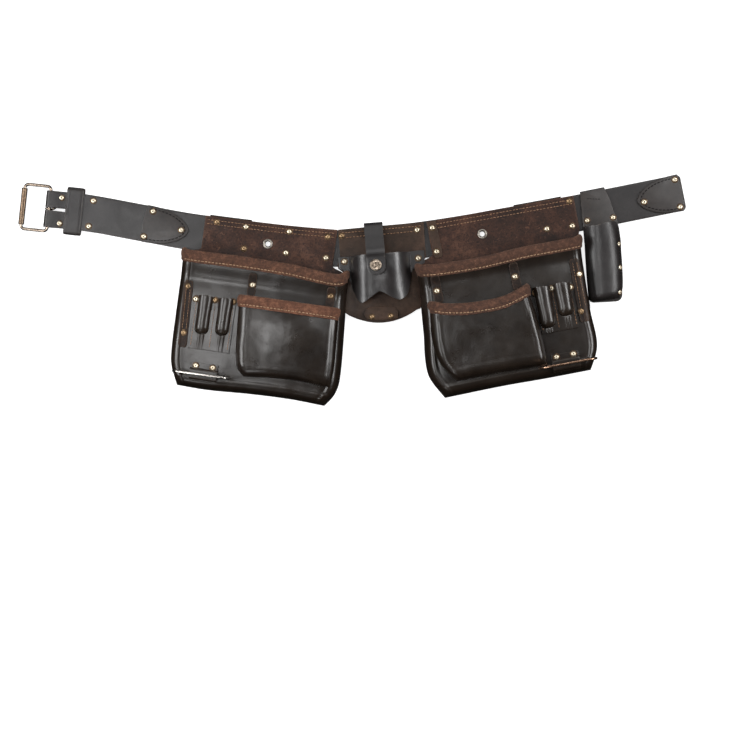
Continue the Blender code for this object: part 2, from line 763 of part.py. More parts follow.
def build_flap():
    """Anchor between strap and backing, flap over the belt's top, and its snap."""
    half = FLAP_HALF
    anchor = [(FLAP_X - half, 6.0), (FLAP_X + half, 6.0), (FLAP_X + half, 29.0), (FLAP_X - half, 29.0)]
    flat("flap_anchor", [place(CENTRE, *p) for p in anchor], Z_MID, 2.5, BLACK)
    line = [(30.9, 3.75), (32.8, 5.2), (33.5, 8.5), (32.7, 12.4), (28.0, 16.8), (16.0, 24.9), (2.0, 34.6)]
    line += [(-7.0, 41.0), (-14.0, SNAP_Z), (-28.0, SNAP_Z)]
    tip = ((5.0, 0.94), (9.0, 0.72), (11.5, 0.38))
    sections = [(y, z, 1.0) for y, z in line]
    sections += [(-28.0 - forward, SNAP_Z, width) for forward, width in tip]
    rows = [
        [(k * half * width, y - FLAP_HINGE[0], z - FLAP_HINGE[1]) for k in (-1.0, 0.0, 1.0)]
        for y, z, width in sections
    ]
    hinge = place(CENTRE, FLAP_X, FLAP_HINGE[0])
    flap = grid("holster_flap", rows, BLACK, 2.5, (*hinge, CENTRE[2]), offset=0.0)
    flap.location.z = FLAP_HINGE[1] * MM
    spot = place(CENTRE, FLAP_X - 1.0, SNAP_Y)
    low = SNAP_Z + 1.25 + GAP
    cap = [(0.0, low + 2.0), (3.0, low + 2.2), (6.6, low + 1.9), (8.2, low + 0.8), (8.2, low), (0.0, low)]
    turned("snap_cap", cap, BRONZE, (*spot, 0.0), 20)
    seat = Z_OVERLAY + holster_swell(FLAP_X, SNAP_Y) + PANEL_THICK + GAP
    stud = [(0.0, 2.0), (2.4, 2.0), (3.0, 1.4), (2.6, 0.7), (5.0, 0.5), (5.0, 0.0), (0.0, 0.0)]
    turned("snap_stud", stud, NICKEL, (*spot, seat), 16)


# ---------------------------------------------------------------- sheath

def build_sheath():
    """Flat back with a channel round the strap, and a moulded front."""
    outer = STRAP_HALF + 0.8 + LINING
    start, end = 288.5, 322.0
    right_side = ((17.0, -127.5), (24.0, -119.0), (23.5, -46.0), (20.5, -20.0), (16.0, -6.0))
    low = [place(SHEATH, x, y) for x, y in ((-22.0, -130.0), *right_side)]
    high = [on_belt(x, outer, 0)[:2] for x in steps(end, start, 3)]
    back = [place(SHEATH, x, y) for x, y in ((-27.5, -24.0), (-25.5, -70.0), (-24.0, -122.0))]
    plate = flat("sheath_back", low + high + back, Z_PANEL, PANEL_THICK, BLACK)
    inner = STRAP_HALF + 0.8
    section = channel_section(outer, inner, Z_PANEL + 0.4)
    ring = [[on_belt(x, a, z) for a, z in section] for x in steps(start + 2.0, end - 4.0, 2)]
    channel = as_cutter(sweep("sheath_channel", ring, BLACK))
    join = plate.modifiers.new("join", "BOOLEAN")
    join.operation = "UNION"
    join.object = channel
    join.solver = "EXACT"
    left = through(((-20.0, -27.5), (-70.0, -26.5), (-110.0, -24.5), (-131.0, -21.0)))
    right = through(((-20.0, 19.0), (-45.0, 22.5), (-110.0, 23.0), (-131.0, 19.0)))
    rows = []
    for t in steps(0.0, 0.78, 6) + [0.86, 0.92, 0.96, 0.985, 1.0]:
        y = blend(-22.0, -127.0, t)
        close = 1.0 if t < 0.8 else max(0.0, 1.0 - ((t - 0.8) / 0.2) ** 2.6) ** 0.5
        rows.append([
            (
                blend(left(y), right(y), (s + 1.0) / 2.0), y,
                Z_OVERLAY + 0.9 + SHEATH_DEPTH * max(0.0, 1.0 - abs(s) ** 2.6) ** 0.6 * close,
            )
            for s in ARCH_STEPS
        ])
    grid("sheath_front", rows, BLACK, POCKET_THICK, SHEATH)


# ---------------------------------------------------------------- build

clear_scene()
belt = new_collection("tool_belt")
cutters = new_collection("cutters")

BLACK = material("black_leather", (0.030, 0.027, 0.026), 0.42)
BROWN = material("brown_leather", (0.055, 0.028, 0.018), 0.55)
LEATHER = material("pocket_leather", (0.026, 0.020, 0.017), 0.35)
SUEDE = material("suede_trim", (0.16, 0.058, 0.028), 0.9)
NICKEL = material("nickel", (0.62, 0.58, 0.52), 0.3, 1.0)
BRONZE = material("antique_brass", (0.42, 0.30, 0.19), 0.38, 1.0)
BRASS = material("brass", (0.78, 0.62, 0.38), 0.3, 1.0)

strap_spots = {key: [on_belt(x, a, 0)[:2] for x, a in spots] for key, spots in BELT_RIVETS.items()}
panel_spots = [place(LEFT, *p) for p in LEFT_RIVETS] + [place(CENTRE, *p) for p in PANEL_TOP_RIVETS]
panel_spots += [place(RIGHT, *p) for p in RIGHT_RIVETS]
ear_spots = [place(CENTRE, *p) for p in EAR_RIVETS]
edge_spots = [place(RIGHT, *p) for p in EDGE_RIVETS]
eyelet_spots = [place(LEFT, *LEFT_EYELET), place(RIGHT, *RIGHT_EYELET)]
every_spot = [spot for spots in strap_spots.values() for spot in spots] + panel_spots + ear_spots + edge_spots

hole_tool = posts("rivet_holes", every_spot, RIVET_POST + GAP)
eyelet_tool = posts("eyelet_holes", eyelet_spots, EYELET_HOLE + GAP, 14)

build_strap()
build_tongue()
build_patches()
build_keeper()
build_buckle()
build_rear()

build_panel("left_pouch_panel", left_pouch, (-101.0, 83.0), (hole_tool, eyelet_tool))
build_panel("right_pouch_panel", right_pouch, (-94.5, 113.0), (hole_tool, eyelet_tool))
for side, pouch in (("left", left_pouch), ("right", right_pouch)):
    build_main_pocket(side + "_main_pocket", pouch)
    build_trim(side + "_main_trim", pouch, main_surface(pouch), side_normal, pouch.mouth, SUEDE)
for side, pocket in (("left", left_front), ("right", right_front)):
    pocket.build(side + "_front_pocket")
    build_trim(side + "_front_trim", pocket.pouch, pocket.surface, side_normal, pocket.mouth, SUEDE)
left_tubes = ((-82.0, 8.0, -139.0), (-54.0, 8.0, -137.0))
right_tubes = ((43.5, 9.6, -150.0), (71.0, 9.6, -138.0))
build_slots("left_tool_slots", left_pouch, left_tubes, -97.0, -40.0, -86.0, -160.0)
build_slots("right_tool_slots", right_pouch, right_tubes, 32.5, 84.0, -92.0, -156.0)
build_strip("left_side_strip", left_pouch, -107.0, 6.0, -68.0, -160.0)
build_strip("right_side_strip", right_pouch, 94.0, 6.5, -62.0, -150.0)
build_hammer_loop("left", left_pouch, -71.0, 38.0, -193.5)
build_hammer_loop("right", right_pouch, 58.0, 38.0, -201.5)

build_holster()
build_flap()
build_sheath()

edge = [place(RIGHT, x, y) for x, y in ((-94.0, 25.5), (-82.0, 26.5), (-80.5, -21.0), (-92.5, -22.0))]
cut(flat("right_edge_strip", edge, Z_OVERLAY, 2.0, BROWN), hole_tool)

for number, spot in enumerate(strap_spots["buckle"], 1):
    double_rivet(f"rivet_buckle_{number}", spot, Z_STRAP + STRAP_THICK, BRASS)
panel_top = Z_PANEL + PANEL_THICK
for key in ("patch_left", "patch_right"):
    for number, spot in enumerate(strap_spots[key], 1):
        rivet(f"rivet_{key}_{number}", spot, panel_top, BRASS)
for number, spot in enumerate(panel_spots, 1):
    rivet(f"rivet_panel_{number:02d}", spot, panel_top, BRASS)
for number, spot in enumerate(ear_spots, 1):
    rivet(f"rivet_ear_{number}", spot, Z_OVERLAY + PANEL_THICK, BRASS)
for number, spot in enumerate(edge_spots, 1):
    rivet(f"rivet_edge_{number}", spot, Z_OVERLAY + 2.0, BRASS)
for side, spot in zip(("left", "right"), eyelet_spots):
    eyelet("eyelet_" + side, spot, panel_top, NICKEL)
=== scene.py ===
"""Looks of the leather tool belt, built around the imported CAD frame.

Lengths are millimetres, turned into metres when a mesh is made.  X runs along
the belt, Y is up as worn, Z points out of the front, the bench is Z = 0.
"""
import math

import bmesh
import bpy
from mathutils import Matrix, Vector, noise


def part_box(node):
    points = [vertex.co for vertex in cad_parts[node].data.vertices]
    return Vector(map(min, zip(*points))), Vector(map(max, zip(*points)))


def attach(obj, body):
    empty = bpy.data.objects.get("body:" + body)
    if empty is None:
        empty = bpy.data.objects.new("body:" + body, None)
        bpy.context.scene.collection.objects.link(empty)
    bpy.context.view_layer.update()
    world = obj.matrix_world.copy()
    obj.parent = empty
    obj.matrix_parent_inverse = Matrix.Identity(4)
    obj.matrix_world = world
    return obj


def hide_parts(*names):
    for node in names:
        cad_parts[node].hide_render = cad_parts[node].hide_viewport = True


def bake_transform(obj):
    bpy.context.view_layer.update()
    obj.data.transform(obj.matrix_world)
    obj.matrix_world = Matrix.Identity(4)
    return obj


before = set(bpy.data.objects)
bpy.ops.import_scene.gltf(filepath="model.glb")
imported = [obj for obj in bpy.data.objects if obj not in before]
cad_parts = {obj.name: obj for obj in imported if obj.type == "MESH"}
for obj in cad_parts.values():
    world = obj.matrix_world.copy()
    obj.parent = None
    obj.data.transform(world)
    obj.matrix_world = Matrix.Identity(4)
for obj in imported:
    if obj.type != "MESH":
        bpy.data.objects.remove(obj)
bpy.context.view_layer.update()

MM = 0.001

# ---------------------------------------------------------------- sizes

STRAP_HALF = 25.4
STRAP_THICK = 3.0
STRAP_END = 427.0
PANEL_THICK = 2.5
LINING = 2.2
GAP = 0.3
Z_MID = LINING + GAP
Z_STRAP = Z_MID + STRAP_THICK + GAP
Z_PANEL = Z_STRAP + STRAP_THICK + GAP
Z_FRONT = Z_PANEL + PANEL_THICK
Z_OVERLAY = Z_FRONT + GAP

BELT_LINE = (
    (-455.0, 51.8), (-401.0, 46.0), (-328.0, 32.7), (-255.0, 19.5), (-119.5, 2.5), (-55.0, -3.5),
    (0.0, 1.5), (75.0, 10.0), (193.0, 29.5), (284.0, 46.4), (427.0, 75.0),
)
BAR_X = -455.0
BAR_Z = Z_MID + STRAP_THICK + GAP / 2
WIRE = 2.2
FOLD_RADIUS = WIRE + GAP + STRAP_THICK / 2
FOLD_END = -386.0
BUCKLE_REACH = 36.5
BUCKLE_HALF = 31.2
KEEPER_X = -420.0
PRONG_REST = 110.0
SLOT_HALF = 2.15
SLOT_END = -430.0

LEFT = (-140.0, 3.0, -8.0)
CENTRE = (0.0, -2.0, 4.5)
RIGHT = (167.5, 24.3, 10.5)
SHEATH = (314.5, 51.7, 2.0)
WORLD = (0.0, 0.0, 0.0)

MAIN_DEPTH = 33.0
FRONT_DEPTH = 20.0
POCKET_THICK = 2.4
OVERLAY_THICK = 1.9
TUNNEL_THICK = 1.5
FLAP_THICK = 2.5
FLAP_LEVEL = 44.5
PATCH_HALF = 25.9
EYELET_HOLE = 4.7
RING_WIRE = 1.8
SHEATH_DEPTH = 20.0
BACK_FACING = 0.9
EDGE_FACING = 0.55
SEAT = 2.0
TRIM_WIDTH = 13.5

EYELETS = ((LEFT, (-10.0, -1.6)), (RIGHT, (-21.0, -3.9)))

CAMERA_SPOT = (-1.4, -179.3, 2470.0)
CAMERA_LENS = 85.0


# ---------------------------------------------------------------- small maths

def blend(a, b, u):
    return a + (b - a) * u


def steps(a, b, count):
    return [blend(a, b, i / count) for i in range(count + 1)]


def smooth_step(a, b, value):
    u = min(max((value - a) / (b - a), 0.0), 1.0)
    return u * u * (3.0 - 2.0 * u)


def hump(value, centre, width):
    return math.exp(-(((value - centre) / width) ** 2))


def cubic(a, slope_a, b, slope_b, u):
    """Cubic from a to b with the given slopes per step of u."""
    return (
        (2 * u**3 - 3 * u**2 + 1) * a + (u**3 - 2 * u**2 + u) * slope_a
        + (3 * u**2 - 2 * u**3) * b + (u**3 - u**2) * slope_b
    )


def through(points):
    """A smooth function of one variable through the given pairs."""
    points = sorted(points)

    def slope(i):
        low = points[max(i - 1, 0)]
        high = points[min(i + 1, len(points) - 1)]
        return (high[1] - low[1]) / (high[0] - low[0])

    def value(x):
        i = 0
        while i < len(points) - 2 and x > points[i + 1][0]:
            i += 1
        (x0, y0), (x1, y1) = points[i], points[i + 1]
        span = x1 - x0
        u = (x - x0) / span
        if u < 0.0:
            return y0 + slope(i) * (x - x0)
        if u > 1.0:
            return y1 + slope(i + 1) * (x - x1)
        return cubic(y0, slope(i) * span, y1, slope(i + 1) * span, u)
    return value


def rough(x, y, size, seed=0.0):
    """Smooth unevenness of leather, about -1 to 1, at a given size."""
    return noise.fractal(Vector((x / size, y / size, seed)), 1.0, 2.0, 3)


def arc(cx, cy, radius, start, end, count):
    return [
        (cx + radius * math.cos(math.radians(a)), cy + radius * math.sin(math.radians(a)))
        for a in steps(start, end, count)
    ]


def rounded_rectangle(half_x, half_y, radius, count=6):
    points = []
    for quarter, (sx, sy) in enumerate(((1, 1), (-1, 1), (-1, -1), (1, -1))):
        start = 90.0 * quarter
        points += arc(sx * (half_x - radius), sy * (half_y - radius), radius, start, start + 90, count)
    return points


def place(where, x, y):
    turn = math.radians(where[2])
    return (
        where[0] + x * math.cos(turn) - y * math.sin(turn),
        where[1] + x * math.sin(turn) + y * math.cos(turn),
    )


def placed(where, point):
    return (*place(where, point[0], point[1]), point[2])


belt_line = through(BELT_LINE)


def belt_slope(x):
    return math.atan2(belt_line(x + 1.0) - belt_line(x - 1.0), 2.0)


def on_belt(x, across, z=0.0):
    turn = belt_slope(x)
    return (x - across * math.sin(turn), belt_line(x) + across * math.cos(turn), z)


# ---------------------------------------------------------------- materials

class Look:
    """Builds one procedural material; textures are in metres on the piece."""

    def __init__(self, name):
        self.material = bpy.data.materials.new(name)
        self.material.use_nodes = True
        self.tree = self.material.node_tree
        self.shader = self.tree.nodes["Principled BSDF"]
        self.place = self.tree.nodes.new("ShaderNodeTexCoord").outputs["Object"]

    def set(self, **values):
        for key, value in values.items():
            self.shader.inputs[key.replace("_", " ")].default_value = value

    def link(self, source, target):
        self.tree.links.new(source, target)

    def noise(self, size, detail=4.0, sharp=0.55, twist=0.0, stretch=None):
        node = self.tree.nodes.new("ShaderNodeTexNoise")
        node.inputs["Scale"].default_value = 1.0 / (size * MM)
        node.inputs["Detail"].default_value = detail
        node.inputs["Roughness"].default_value = sharp
        node.inputs["Distortion"].default_value = twist
        self.link(self.mapped(stretch), node.inputs["Vector"])
        return node.outputs["Fac"]

    def cells(self, size):
        node = self.tree.nodes.new("ShaderNodeTexVoronoi")
        node.inputs["Scale"].default_value = 1.0 / (size * MM)
        self.link(self.place, node.inputs["Vector"])
        return node.outputs["Distance"]

    def mapped(self, stretch):
        if stretch is None:
            return self.place
        node = self.tree.nodes.new("ShaderNodeMapping")
        node.inputs["Scale"].default_value = stretch
        self.link(self.place, node.inputs["Vector"])
        return node.outputs["Vector"]

    def ramp(self, source, *stops):
        node = self.tree.nodes.new("ShaderNodeValToRGB")
        row = node.color_ramp.elements
        while len(row) < len(stops):
            row.new(0.5)
        for element, (spot, value) in zip(row, stops):
            element.position = spot
            element.color = (*value, 1.0) if isinstance(value, tuple) else (value, value, value, 1.0)
        self.link(source, node.inputs["Fac"])
        return node.outputs["Color"]

    def multiply(self, first, second):
        node = self.tree.nodes.new("ShaderNodeMath")
        node.operation = "MULTIPLY"
        self.link(first, node.inputs[0])
        self.link(second, node.inputs[1])
        return node.outputs["Value"]

    def mix(self, amount, color, other):
        node = self.tree.nodes.new("ShaderNodeMix")
        node.data_type = "RGBA"
        self.link(amount, node.inputs["Factor"])
        self.link(color, node.inputs[6])
        node.inputs[7].default_value = (*other, 1.0)
        return node.outputs[2]

    def edges(self, low=0.505, high=0.56):
        """Worn edges: where the surface bends outwards."""
        node = self.tree.nodes.new("ShaderNodeNewGeometry")
        return self.ramp(node.outputs["Pointiness"], (low, 0.0), (high, 1.0))

    def bump(self, height, depth, under=None):
        node = self.tree.nodes.new("ShaderNodeBump")
        node.inputs["Strength"].default_value = 1.0
        node.inputs["Distance"].default_value = depth * MM
        self.link(height, node.inputs["Height"])
        if under is not None:
            self.link(under, node.inputs["Normal"])
        return node.outputs["Normal"]

    def finish(self, color, roughness=None, normal=None):
        for source, socket in ((color, "Base Color"), (roughness, "Roughness"), (normal, "Normal")):
            if source is not None:
                self.link(source, self.shader.inputs[socket])
        return self.material


def leather_look(
    name, deep, mid, light, sheen, grain=1.3, grain_depth=0.09,
    wear=None, crease=0.25, mottle=0.35, shine=0.5,
):
    """Grained leather: mottled colour, pores, fine creases and rubbed edges."""
    look = Look(name)
    look.set(Specular_IOR_Level=shine)
    patches = look.noise(38.0, 5.0, 0.6, 0.4)
    color = look.ramp(patches, (0.30, deep), (0.52, mid), (0.78, light))
    specks = look.noise(2.6, 5.0, 0.75)
    color = look.mix(look.ramp(specks, (0.46, 0.0), (0.66, mottle)), color, deep)
    scuffs = look.noise(7.0, 6.0, 0.7, 1.2)
    color = look.mix(look.ramp(scuffs, (0.58, 0.0), (0.72, mottle)), color, light)
    if wear:
        rubbed = look.multiply(look.edges(), look.noise(9.0, 4.0, 0.6))
        color = look.mix(rubbed, color, wear)
    gloss = look.ramp(look.noise(24.0, 5.0, 0.65, 0.6), (0.3, sheen[0]), (0.72, sheen[1]))
    pores = look.ramp(look.cells(grain), (0.0, 0.0), (0.55, 1.0))
    normal = look.bump(pores, grain_depth)
    normal = look.bump(look.noise(5.0, 5.0, 0.62, 0.8), crease, normal)
    return look.finish(color, gloss, normal)


def flesh_look(name, deep, light):
    """The inner, unfinished side of leather."""
    look = Look(name)
    color = look.ramp(look.noise(3.0, 6.0, 0.7), (0.3, deep), (0.7, light))
    color = look.mix(look.ramp(look.noise(30.0, 3.0), (0.4, 0.0), (0.7, 0.5)), color, deep)
    look.set(Roughness=0.92)
    return look.finish(color, None, look.bump(look.noise(0.9, 5.0, 0.7), 0.16))


def suede_look(name, deep, mid, light):
    """Napped suede binding, rubbed lighter and darker in streaks."""
    look = Look(name)
    color = look.ramp(look.noise(6.0, 8.0, 0.74, 0.5), (0.34, deep), (0.5, mid), (0.68, light))
    color = look.mix(look.ramp(look.noise(0.7, 4.0, 0.8), (0.35, 0.0), (0.8, 0.6)), color, light)
    color = look.mix(look.ramp(look.noise(0.5, 3.0, 0.8), (0.5, 0.0), (0.72, 0.75)), color, deep)
    look.set(Roughness=0.95, Sheen_Weight=0.15, Sheen_Roughness=0.45)
    look.shader.inputs["Sheen Tint"].default_value = (0.75, 0.45, 0.3, 1.0)
    nap = look.bump(look.noise(0.55, 6.0, 0.75), 0.32)
    return look.finish(color, None, look.bump(look.noise(4.0, 4.0, 0.6), 0.4, nap))


def thread_look(name, deep, light):
    look = Look(name)
    color = look.ramp(look.noise(1.4, 3.0), (0.35, deep), (0.65, light))
    look.set(Roughness=0.85, Specular_IOR_Level=0.2)
    return look.finish(color, None, look.bump(look.noise(0.25, 2.0, 0.5), 0.12))


def metal_look(name, deep, light, rough_low, rough_high, pit=0.02, worn=None):
    """Plated metal in random darker and lighter patches, with fine scratches."""
    look = Look(name)
    color = look.ramp(look.noise(3.2, 6.0, 0.65, 0.3), (0.3, deep), (0.62, light))
    if worn:
        color = look.mix(look.edges(0.5, 0.6), color, worn)
    scratch = look.noise(0.7, 4.0, 0.7, 0.0, (1.0, 9.0, 1.0))
    gloss = look.ramp(scratch, (0.3, rough_low), (0.7, rough_high))
    look.set(Metallic=1.0)
    return look.finish(color, gloss, look.bump(look.noise(0.8, 4.0, 0.6), pit))


BLACK_TONES = ((0.0085, 0.0070, 0.0070), (0.0150, 0.0128, 0.0128), (0.024, 0.0205, 0.0205))
BLACK_WEAR = (0.065, 0.052, 0.044)
BLACK = leather_look("black_leather", *BLACK_TONES, (0.34, 0.46), 0.9, 0.03, BLACK_WEAR, 0.06, 0.5, 0.44)
HOLSTER = leather_look(
    "holster_leather", *BLACK_TONES, (0.28, 0.36), 0.9, 0.012, BLACK_WEAR, 0.012, 0.4, 0.54,
)
BROWN = leather_look(
    "brown_leather", (0.0095, 0.0036, 0.0021), (0.038, 0.0145, 0.0080), (0.110, 0.048, 0.028),
    (0.42, 0.64), 1.2, 0.08, (0.17, 0.085, 0.050), 0.20, 1.0, 0.24,
)
# Darker copy of the brown leather. On the holster's back panel and bar this darkening is painted shade for
# the shadow the tools cast there. The side strips and the right edge strip use the same dark brown.
DARK_AND_SHADE_BROWN = leather_look(
    "dark_and_shade_brown_leather", (0.0050, 0.0028, 0.0018), (0.0135, 0.0075, 0.0050), (0.045, 0.024, 0.016),
    (0.38, 0.60), 1.2, 0.06, (0.12, 0.070, 0.045), 0.16, 1.0, 0.20,
)
POCKET = leather_look(
    "pocket_leather", (0.0062, 0.0036, 0.0021), (0.0105, 0.0066, 0.0042), (0.018, 0.0126, 0.0090),
    (0.26, 0.35), 1.5, 0.014, (0.05, 0.036, 0.027), 0.045, 0.45, 0.52,
)
FLESH = flesh_look("leather_flesh_side", (0.045, 0.028, 0.019), (0.13, 0.088, 0.062))
DARK_FLESH = flesh_look("dark_flesh_side", (0.018, 0.013, 0.011), (0.05, 0.038, 0.03))
EDGE = leather_look(
    "burnished_edge", (0.010, 0.008, 0.007), (0.02, 0.014, 0.011), (0.05, 0.032, 0.022),
    (0.45, 0.7), 0.5, 0.05, None, 0.08,
)
SUEDE = suede_look("suede_trim", (0.012, 0.0048, 0.0028), (0.050, 0.0195, 0.0105), (0.165, 0.072, 0.040))
RUST_SUEDE = suede_look(
    "rust_suede_trim", (0.020, 0.0070, 0.0038), (0.078, 0.029, 0.0150), (0.230, 0.098, 0.055)
)
DARK_SUEDE = suede_look(
    "dark_suede_trim", (0.011, 0.0044, 0.0027), (0.042, 0.0170, 0.0095), (0.135, 0.060, 0.035)
)
THREAD = thread_look("tan_thread", (0.16, 0.085, 0.045), (0.52, 0.34, 0.21))
BROWN_THREAD = thread_look("brown_thread", (0.10, 0.050, 0.028), (0.36, 0.210, 0.125))
DARK_THREAD = thread_look("dark_thread", (0.0035, 0.0030, 0.0030), (0.012, 0.010, 0.009))
NICKEL = metal_look("antique_nickel", (0.10, 0.075, 0.058), (0.38, 0.31, 0.25), 0.14, 0.24, 0.01)
CHROME = metal_look("bright_wire", (0.34, 0.31, 0.28), (0.72, 0.69, 0.65), 0.12, 0.24, 0.01)
COPPER = metal_look("coppery_wire", (0.24, 0.125, 0.075), (0.62, 0.40, 0.28), 0.18, 0.32, 0.01)
BRONZE = metal_look("worn_bronze", (0.045, 0.029, 0.020), (0.17, 0.120, 0.082), 0.22, 0.36, 0.04)
EYELET = metal_look("eyelet_metal", (0.11, 0.095, 0.08), (0.36, 0.33, 0.29), 0.34, 0.48, 0.01)
CAP_METAL = metal_look("snap_bronze", (0.14, 0.11, 0.085), (0.42, 0.35, 0.28), 0.30, 0.46, 0.05)
BRASS = metal_look("pale_brass", (0.34, 0.25, 0.15), (0.82, 0.73, 0.56), 0.32, 0.48, 0.02, (0.90, 0.83, 0.67))
AGED_BRASS = metal_look(
    "aged_brass", (0.10, 0.055, 0.026), (0.36, 0.235, 0.130), 0.32, 0.48, 0.03, (0.46, 0.33, 0.20)
)
# Dark metal for the ring round each rivet cap and for its centre dimple. The ring is painted shade: it stands
# for the shadow round the cap where it sits in the leather.
SHADE_RING_METAL = metal_look("painted_shade_ring", (0.035, 0.022, 0.014), (0.13, 0.085, 0.05), 0.4, 0.6, 0.03)

# Face, back and cut edge of each leather
BLACK_SIDES = (BLACK, DARK_FLESH, EDGE)
HOLSTER_SIDES = (HOLSTER, DARK_FLESH, EDGE)
BROWN_SIDES = (BROWN, FLESH, EDGE)
DARK_AND_SHADE_SIDES = (DARK_AND_SHADE_BROWN, FLESH, EDGE)
POCKET_SIDES = (POCKET, DARK_FLESH, EDGE)


# ---------------------------------------------------------------- mesh building

class Mesh:
    """Gathers points and faces, with a material number on each face."""

    def __init__(self):
        self.points = []
        self.faces = []
        self.marks = []

    def strip(self, rings, closed_ring=True, closed_path=False, marks=None, caps=True):
        """Skin between rings of equal length; marks gives each side's material."""
        base = len(self.points)
        width = len(rings[0])
        for ring in rings:
            self.points += [tuple(p) for p in ring]
        across = width if closed_ring else width - 1
        along = len(rings) if closed_path else len(rings) - 1
        for j in range(along):
            low = base + j * width
            high = base + ((j + 1) % len(rings)) * width
            for i in range(across):
                k = (i + 1) % width
                self.faces.append((low + i, high + i, high + k, low + k))
                self.marks.append(marks[i] if marks else 0)
        if caps and closed_ring and not closed_path:
            last = base + (len(rings) - 1) * width
            self.faces.append(tuple(range(base, base + width)))
            self.faces.append(tuple(reversed(range(last, last + width))))
            self.marks += [0, 0]

    def turn(self, profile, count, matrix, marks=None, shape=lambda i, r, z: (r, z)):
        """A turned shape about the matrix's Z; shape alters the profile at step i."""
        rings = []
        for i in range(count):
            spin = Matrix.Rotation(2 * math.pi * i / count, 3, "Z")
            ring = [shape(i, r, z) for r, z in profile]
            rings.append([matrix @ (spin @ Vector((r, 0.0, z))) for r, z in ring])
        self.strip(rings, closed_ring=False, closed_path=True, marks=marks, caps=False)

    def make(self, name, looks):
        mesh = bpy.data.meshes.new(name)
        mesh.from_pydata([tuple(c * MM for c in p) for p in self.points], [], self.faces)
        for look in looks:
            mesh.materials.append(look)
        mesh.polygons.foreach_set("material_index", self.marks)
        made = bpy.data.objects.new(name, mesh)
        bpy.context.scene.collection.objects.link(made)
        work = bmesh.new()
        work.from_mesh(mesh)
        bmesh.ops.remove_doubles(work, verts=work.verts, dist=0.000002)
        bmesh.ops.recalc_face_normals(work, faces=work.faces)
        work.to_mesh(mesh)
        work.free()
        return smooth(made)


def smooth(made, angle=38.0):
    made.data.shade_smooth()
    made.data.set_sharp_from_angle(angle=math.radians(angle))
    return made


def applied(made):
    """The object with its modifiers made real."""
    bpy.context.view_layer.update()
    graph = bpy.context.evaluated_depsgraph_get()
    mesh = bpy.data.meshes.new_from_object(made.evaluated_get(graph))
    old = made.data
    made.modifiers.clear()
    made.data = mesh
    mesh.name = old.name
    return smooth(made)


def owned(made, body, nodes):
    """Hang a finished piece on its body, in place of its CAD nodes."""
    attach(made, body)
    if nodes:
        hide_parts(*nodes)
    return made


def hide_tool(made):
    made.hide_render = True
    made.hide_viewport = True
    return made


def drill(made, tool):
    cut = made.modifiers.new("cut", "BOOLEAN")
    cut.operation = "DIFFERENCE"
    cut.object = tool
    cut.solver = "EXACT"


def sheet(name, rows, thick, looks, where=WORLD, offset=-1.0, edge=0.55, tools=()):
    """Leather through rows of points, top row first, with rounded cut edges."""
    width = len(rows[0])
    mesh = bpy.data.meshes.new(name)
    points = [tuple(c * MM for c in placed(where, p)) for row in rows for p in row]
    faces = [
        (j * width + i, (j + 1) * width + i, (j + 1) * width + i + 1, j * width + i + 1)
        for j in range(len(rows) - 1) for i in range(width - 1)
    ]
    mesh.from_pydata(points, [], faces)
    for look in looks:
        mesh.materials.append(look)
    made = bpy.data.objects.new(name, mesh)
    bpy.context.scene.collection.objects.link(made)
    shell = made.modifiers.new("leather", "SOLIDIFY")
    shell.thickness = thick * MM
    shell.offset = offset
    shell.use_quality_normals = True
    if len(looks) > 1:
        shell.material_offset = 1
        shell.material_offset_rim = 2
    round_off = made.modifiers.new("edge", "BEVEL")
    round_off.width = edge * MM
    round_off.segments = 3
    round_off.limit_method = "ANGLE"
    round_off.angle_limit = math.radians(55)
    for tool in tools:
        drill(made, tool)
    return applied(made)


def flat(name, outline, low, thick, looks, where=WORLD, edge=0.55, tools=()):
    """A cut piece of flat leather, its edges rounded."""
    curve = bpy.data.curves.new(name, "CURVE")
    curve.dimensions = "2D"
    curve.fill_mode = "BOTH"
    curve.extrude = (thick / 2 - edge) * MM
    curve.bevel_depth = edge * MM
    curve.bevel_resolution = 2
    curve.offset = -edge * MM
    line = curve.splines.new("POLY")
    line.points.add(len(outline) - 1)
    for spot, (x, y) in zip(line.points, outline):
        spot.co = (*(c * MM for c in place(where, x, y)), 0.0, 1.0)
    line.use_cyclic_u = True
    curve.materials.append(looks[0])
    made = bpy.data.objects.new(name, curve)
    bpy.context.scene.collection.objects.link(made)
    made.location.z = (low + thick / 2) * MM
    bpy.context.view_layer.update()
    graph = bpy.context.evaluated_depsgraph_get()
    mesh = bpy.data.meshes.new_from_object(made.evaluated_get(graph))
    mesh.transform(made.matrix_world)
    bpy.data.objects.remove(made, do_unlink=True)
    made = bpy.data.objects.new(name, mesh)
    bpy.context.scene.collection.objects.link(made)
    work = bmesh.new()
    work.from_mesh(mesh)
    bmesh.ops.remove_doubles(work, verts=work.verts, dist=0.00001)
    bmesh.ops.recalc_face_normals(work, faces=work.faces)
    work.to_mesh(mesh)
    work.free()
    mesh.materials.append(looks[1])
    mesh.materials.append(looks[2])
    for face in mesh.polygons:
        if face.normal.z < -BACK_FACING:
            face.material_index = 1
        elif face.normal.z < EDGE_FACING:
            face.material_index = 2
    for tool in tools:
        drill(made, tool)
    return applied(made) if tools else smooth(made)


def tube_rings(path, radius, count=14, closed=False, up=Vector((0, 0, 1))):
    rings = []
    total = len(path)
    for i, point in enumerate(path):
        before = path[(i - 1) % total] if closed or i else path[0]
        after = path[(i + 1) % total] if closed or i < total - 1 else path[-1]
        forward = (after - before).normalized()
        side = forward.cross(up)
        if side.length < 0.05:
            side = forward.cross(Vector((0, 1, 0)))
        side.normalize()
        rise = side.cross(forward)
        size = radius(i / (total - 1)) if callable(radius) else radius
        rings.append([
            point + (
                side * math.cos(2 * math.pi * k / count) + rise * math.sin(2 * math.pi * k / count)
            ) * size
            for k in range(count)
        ])
    return rings


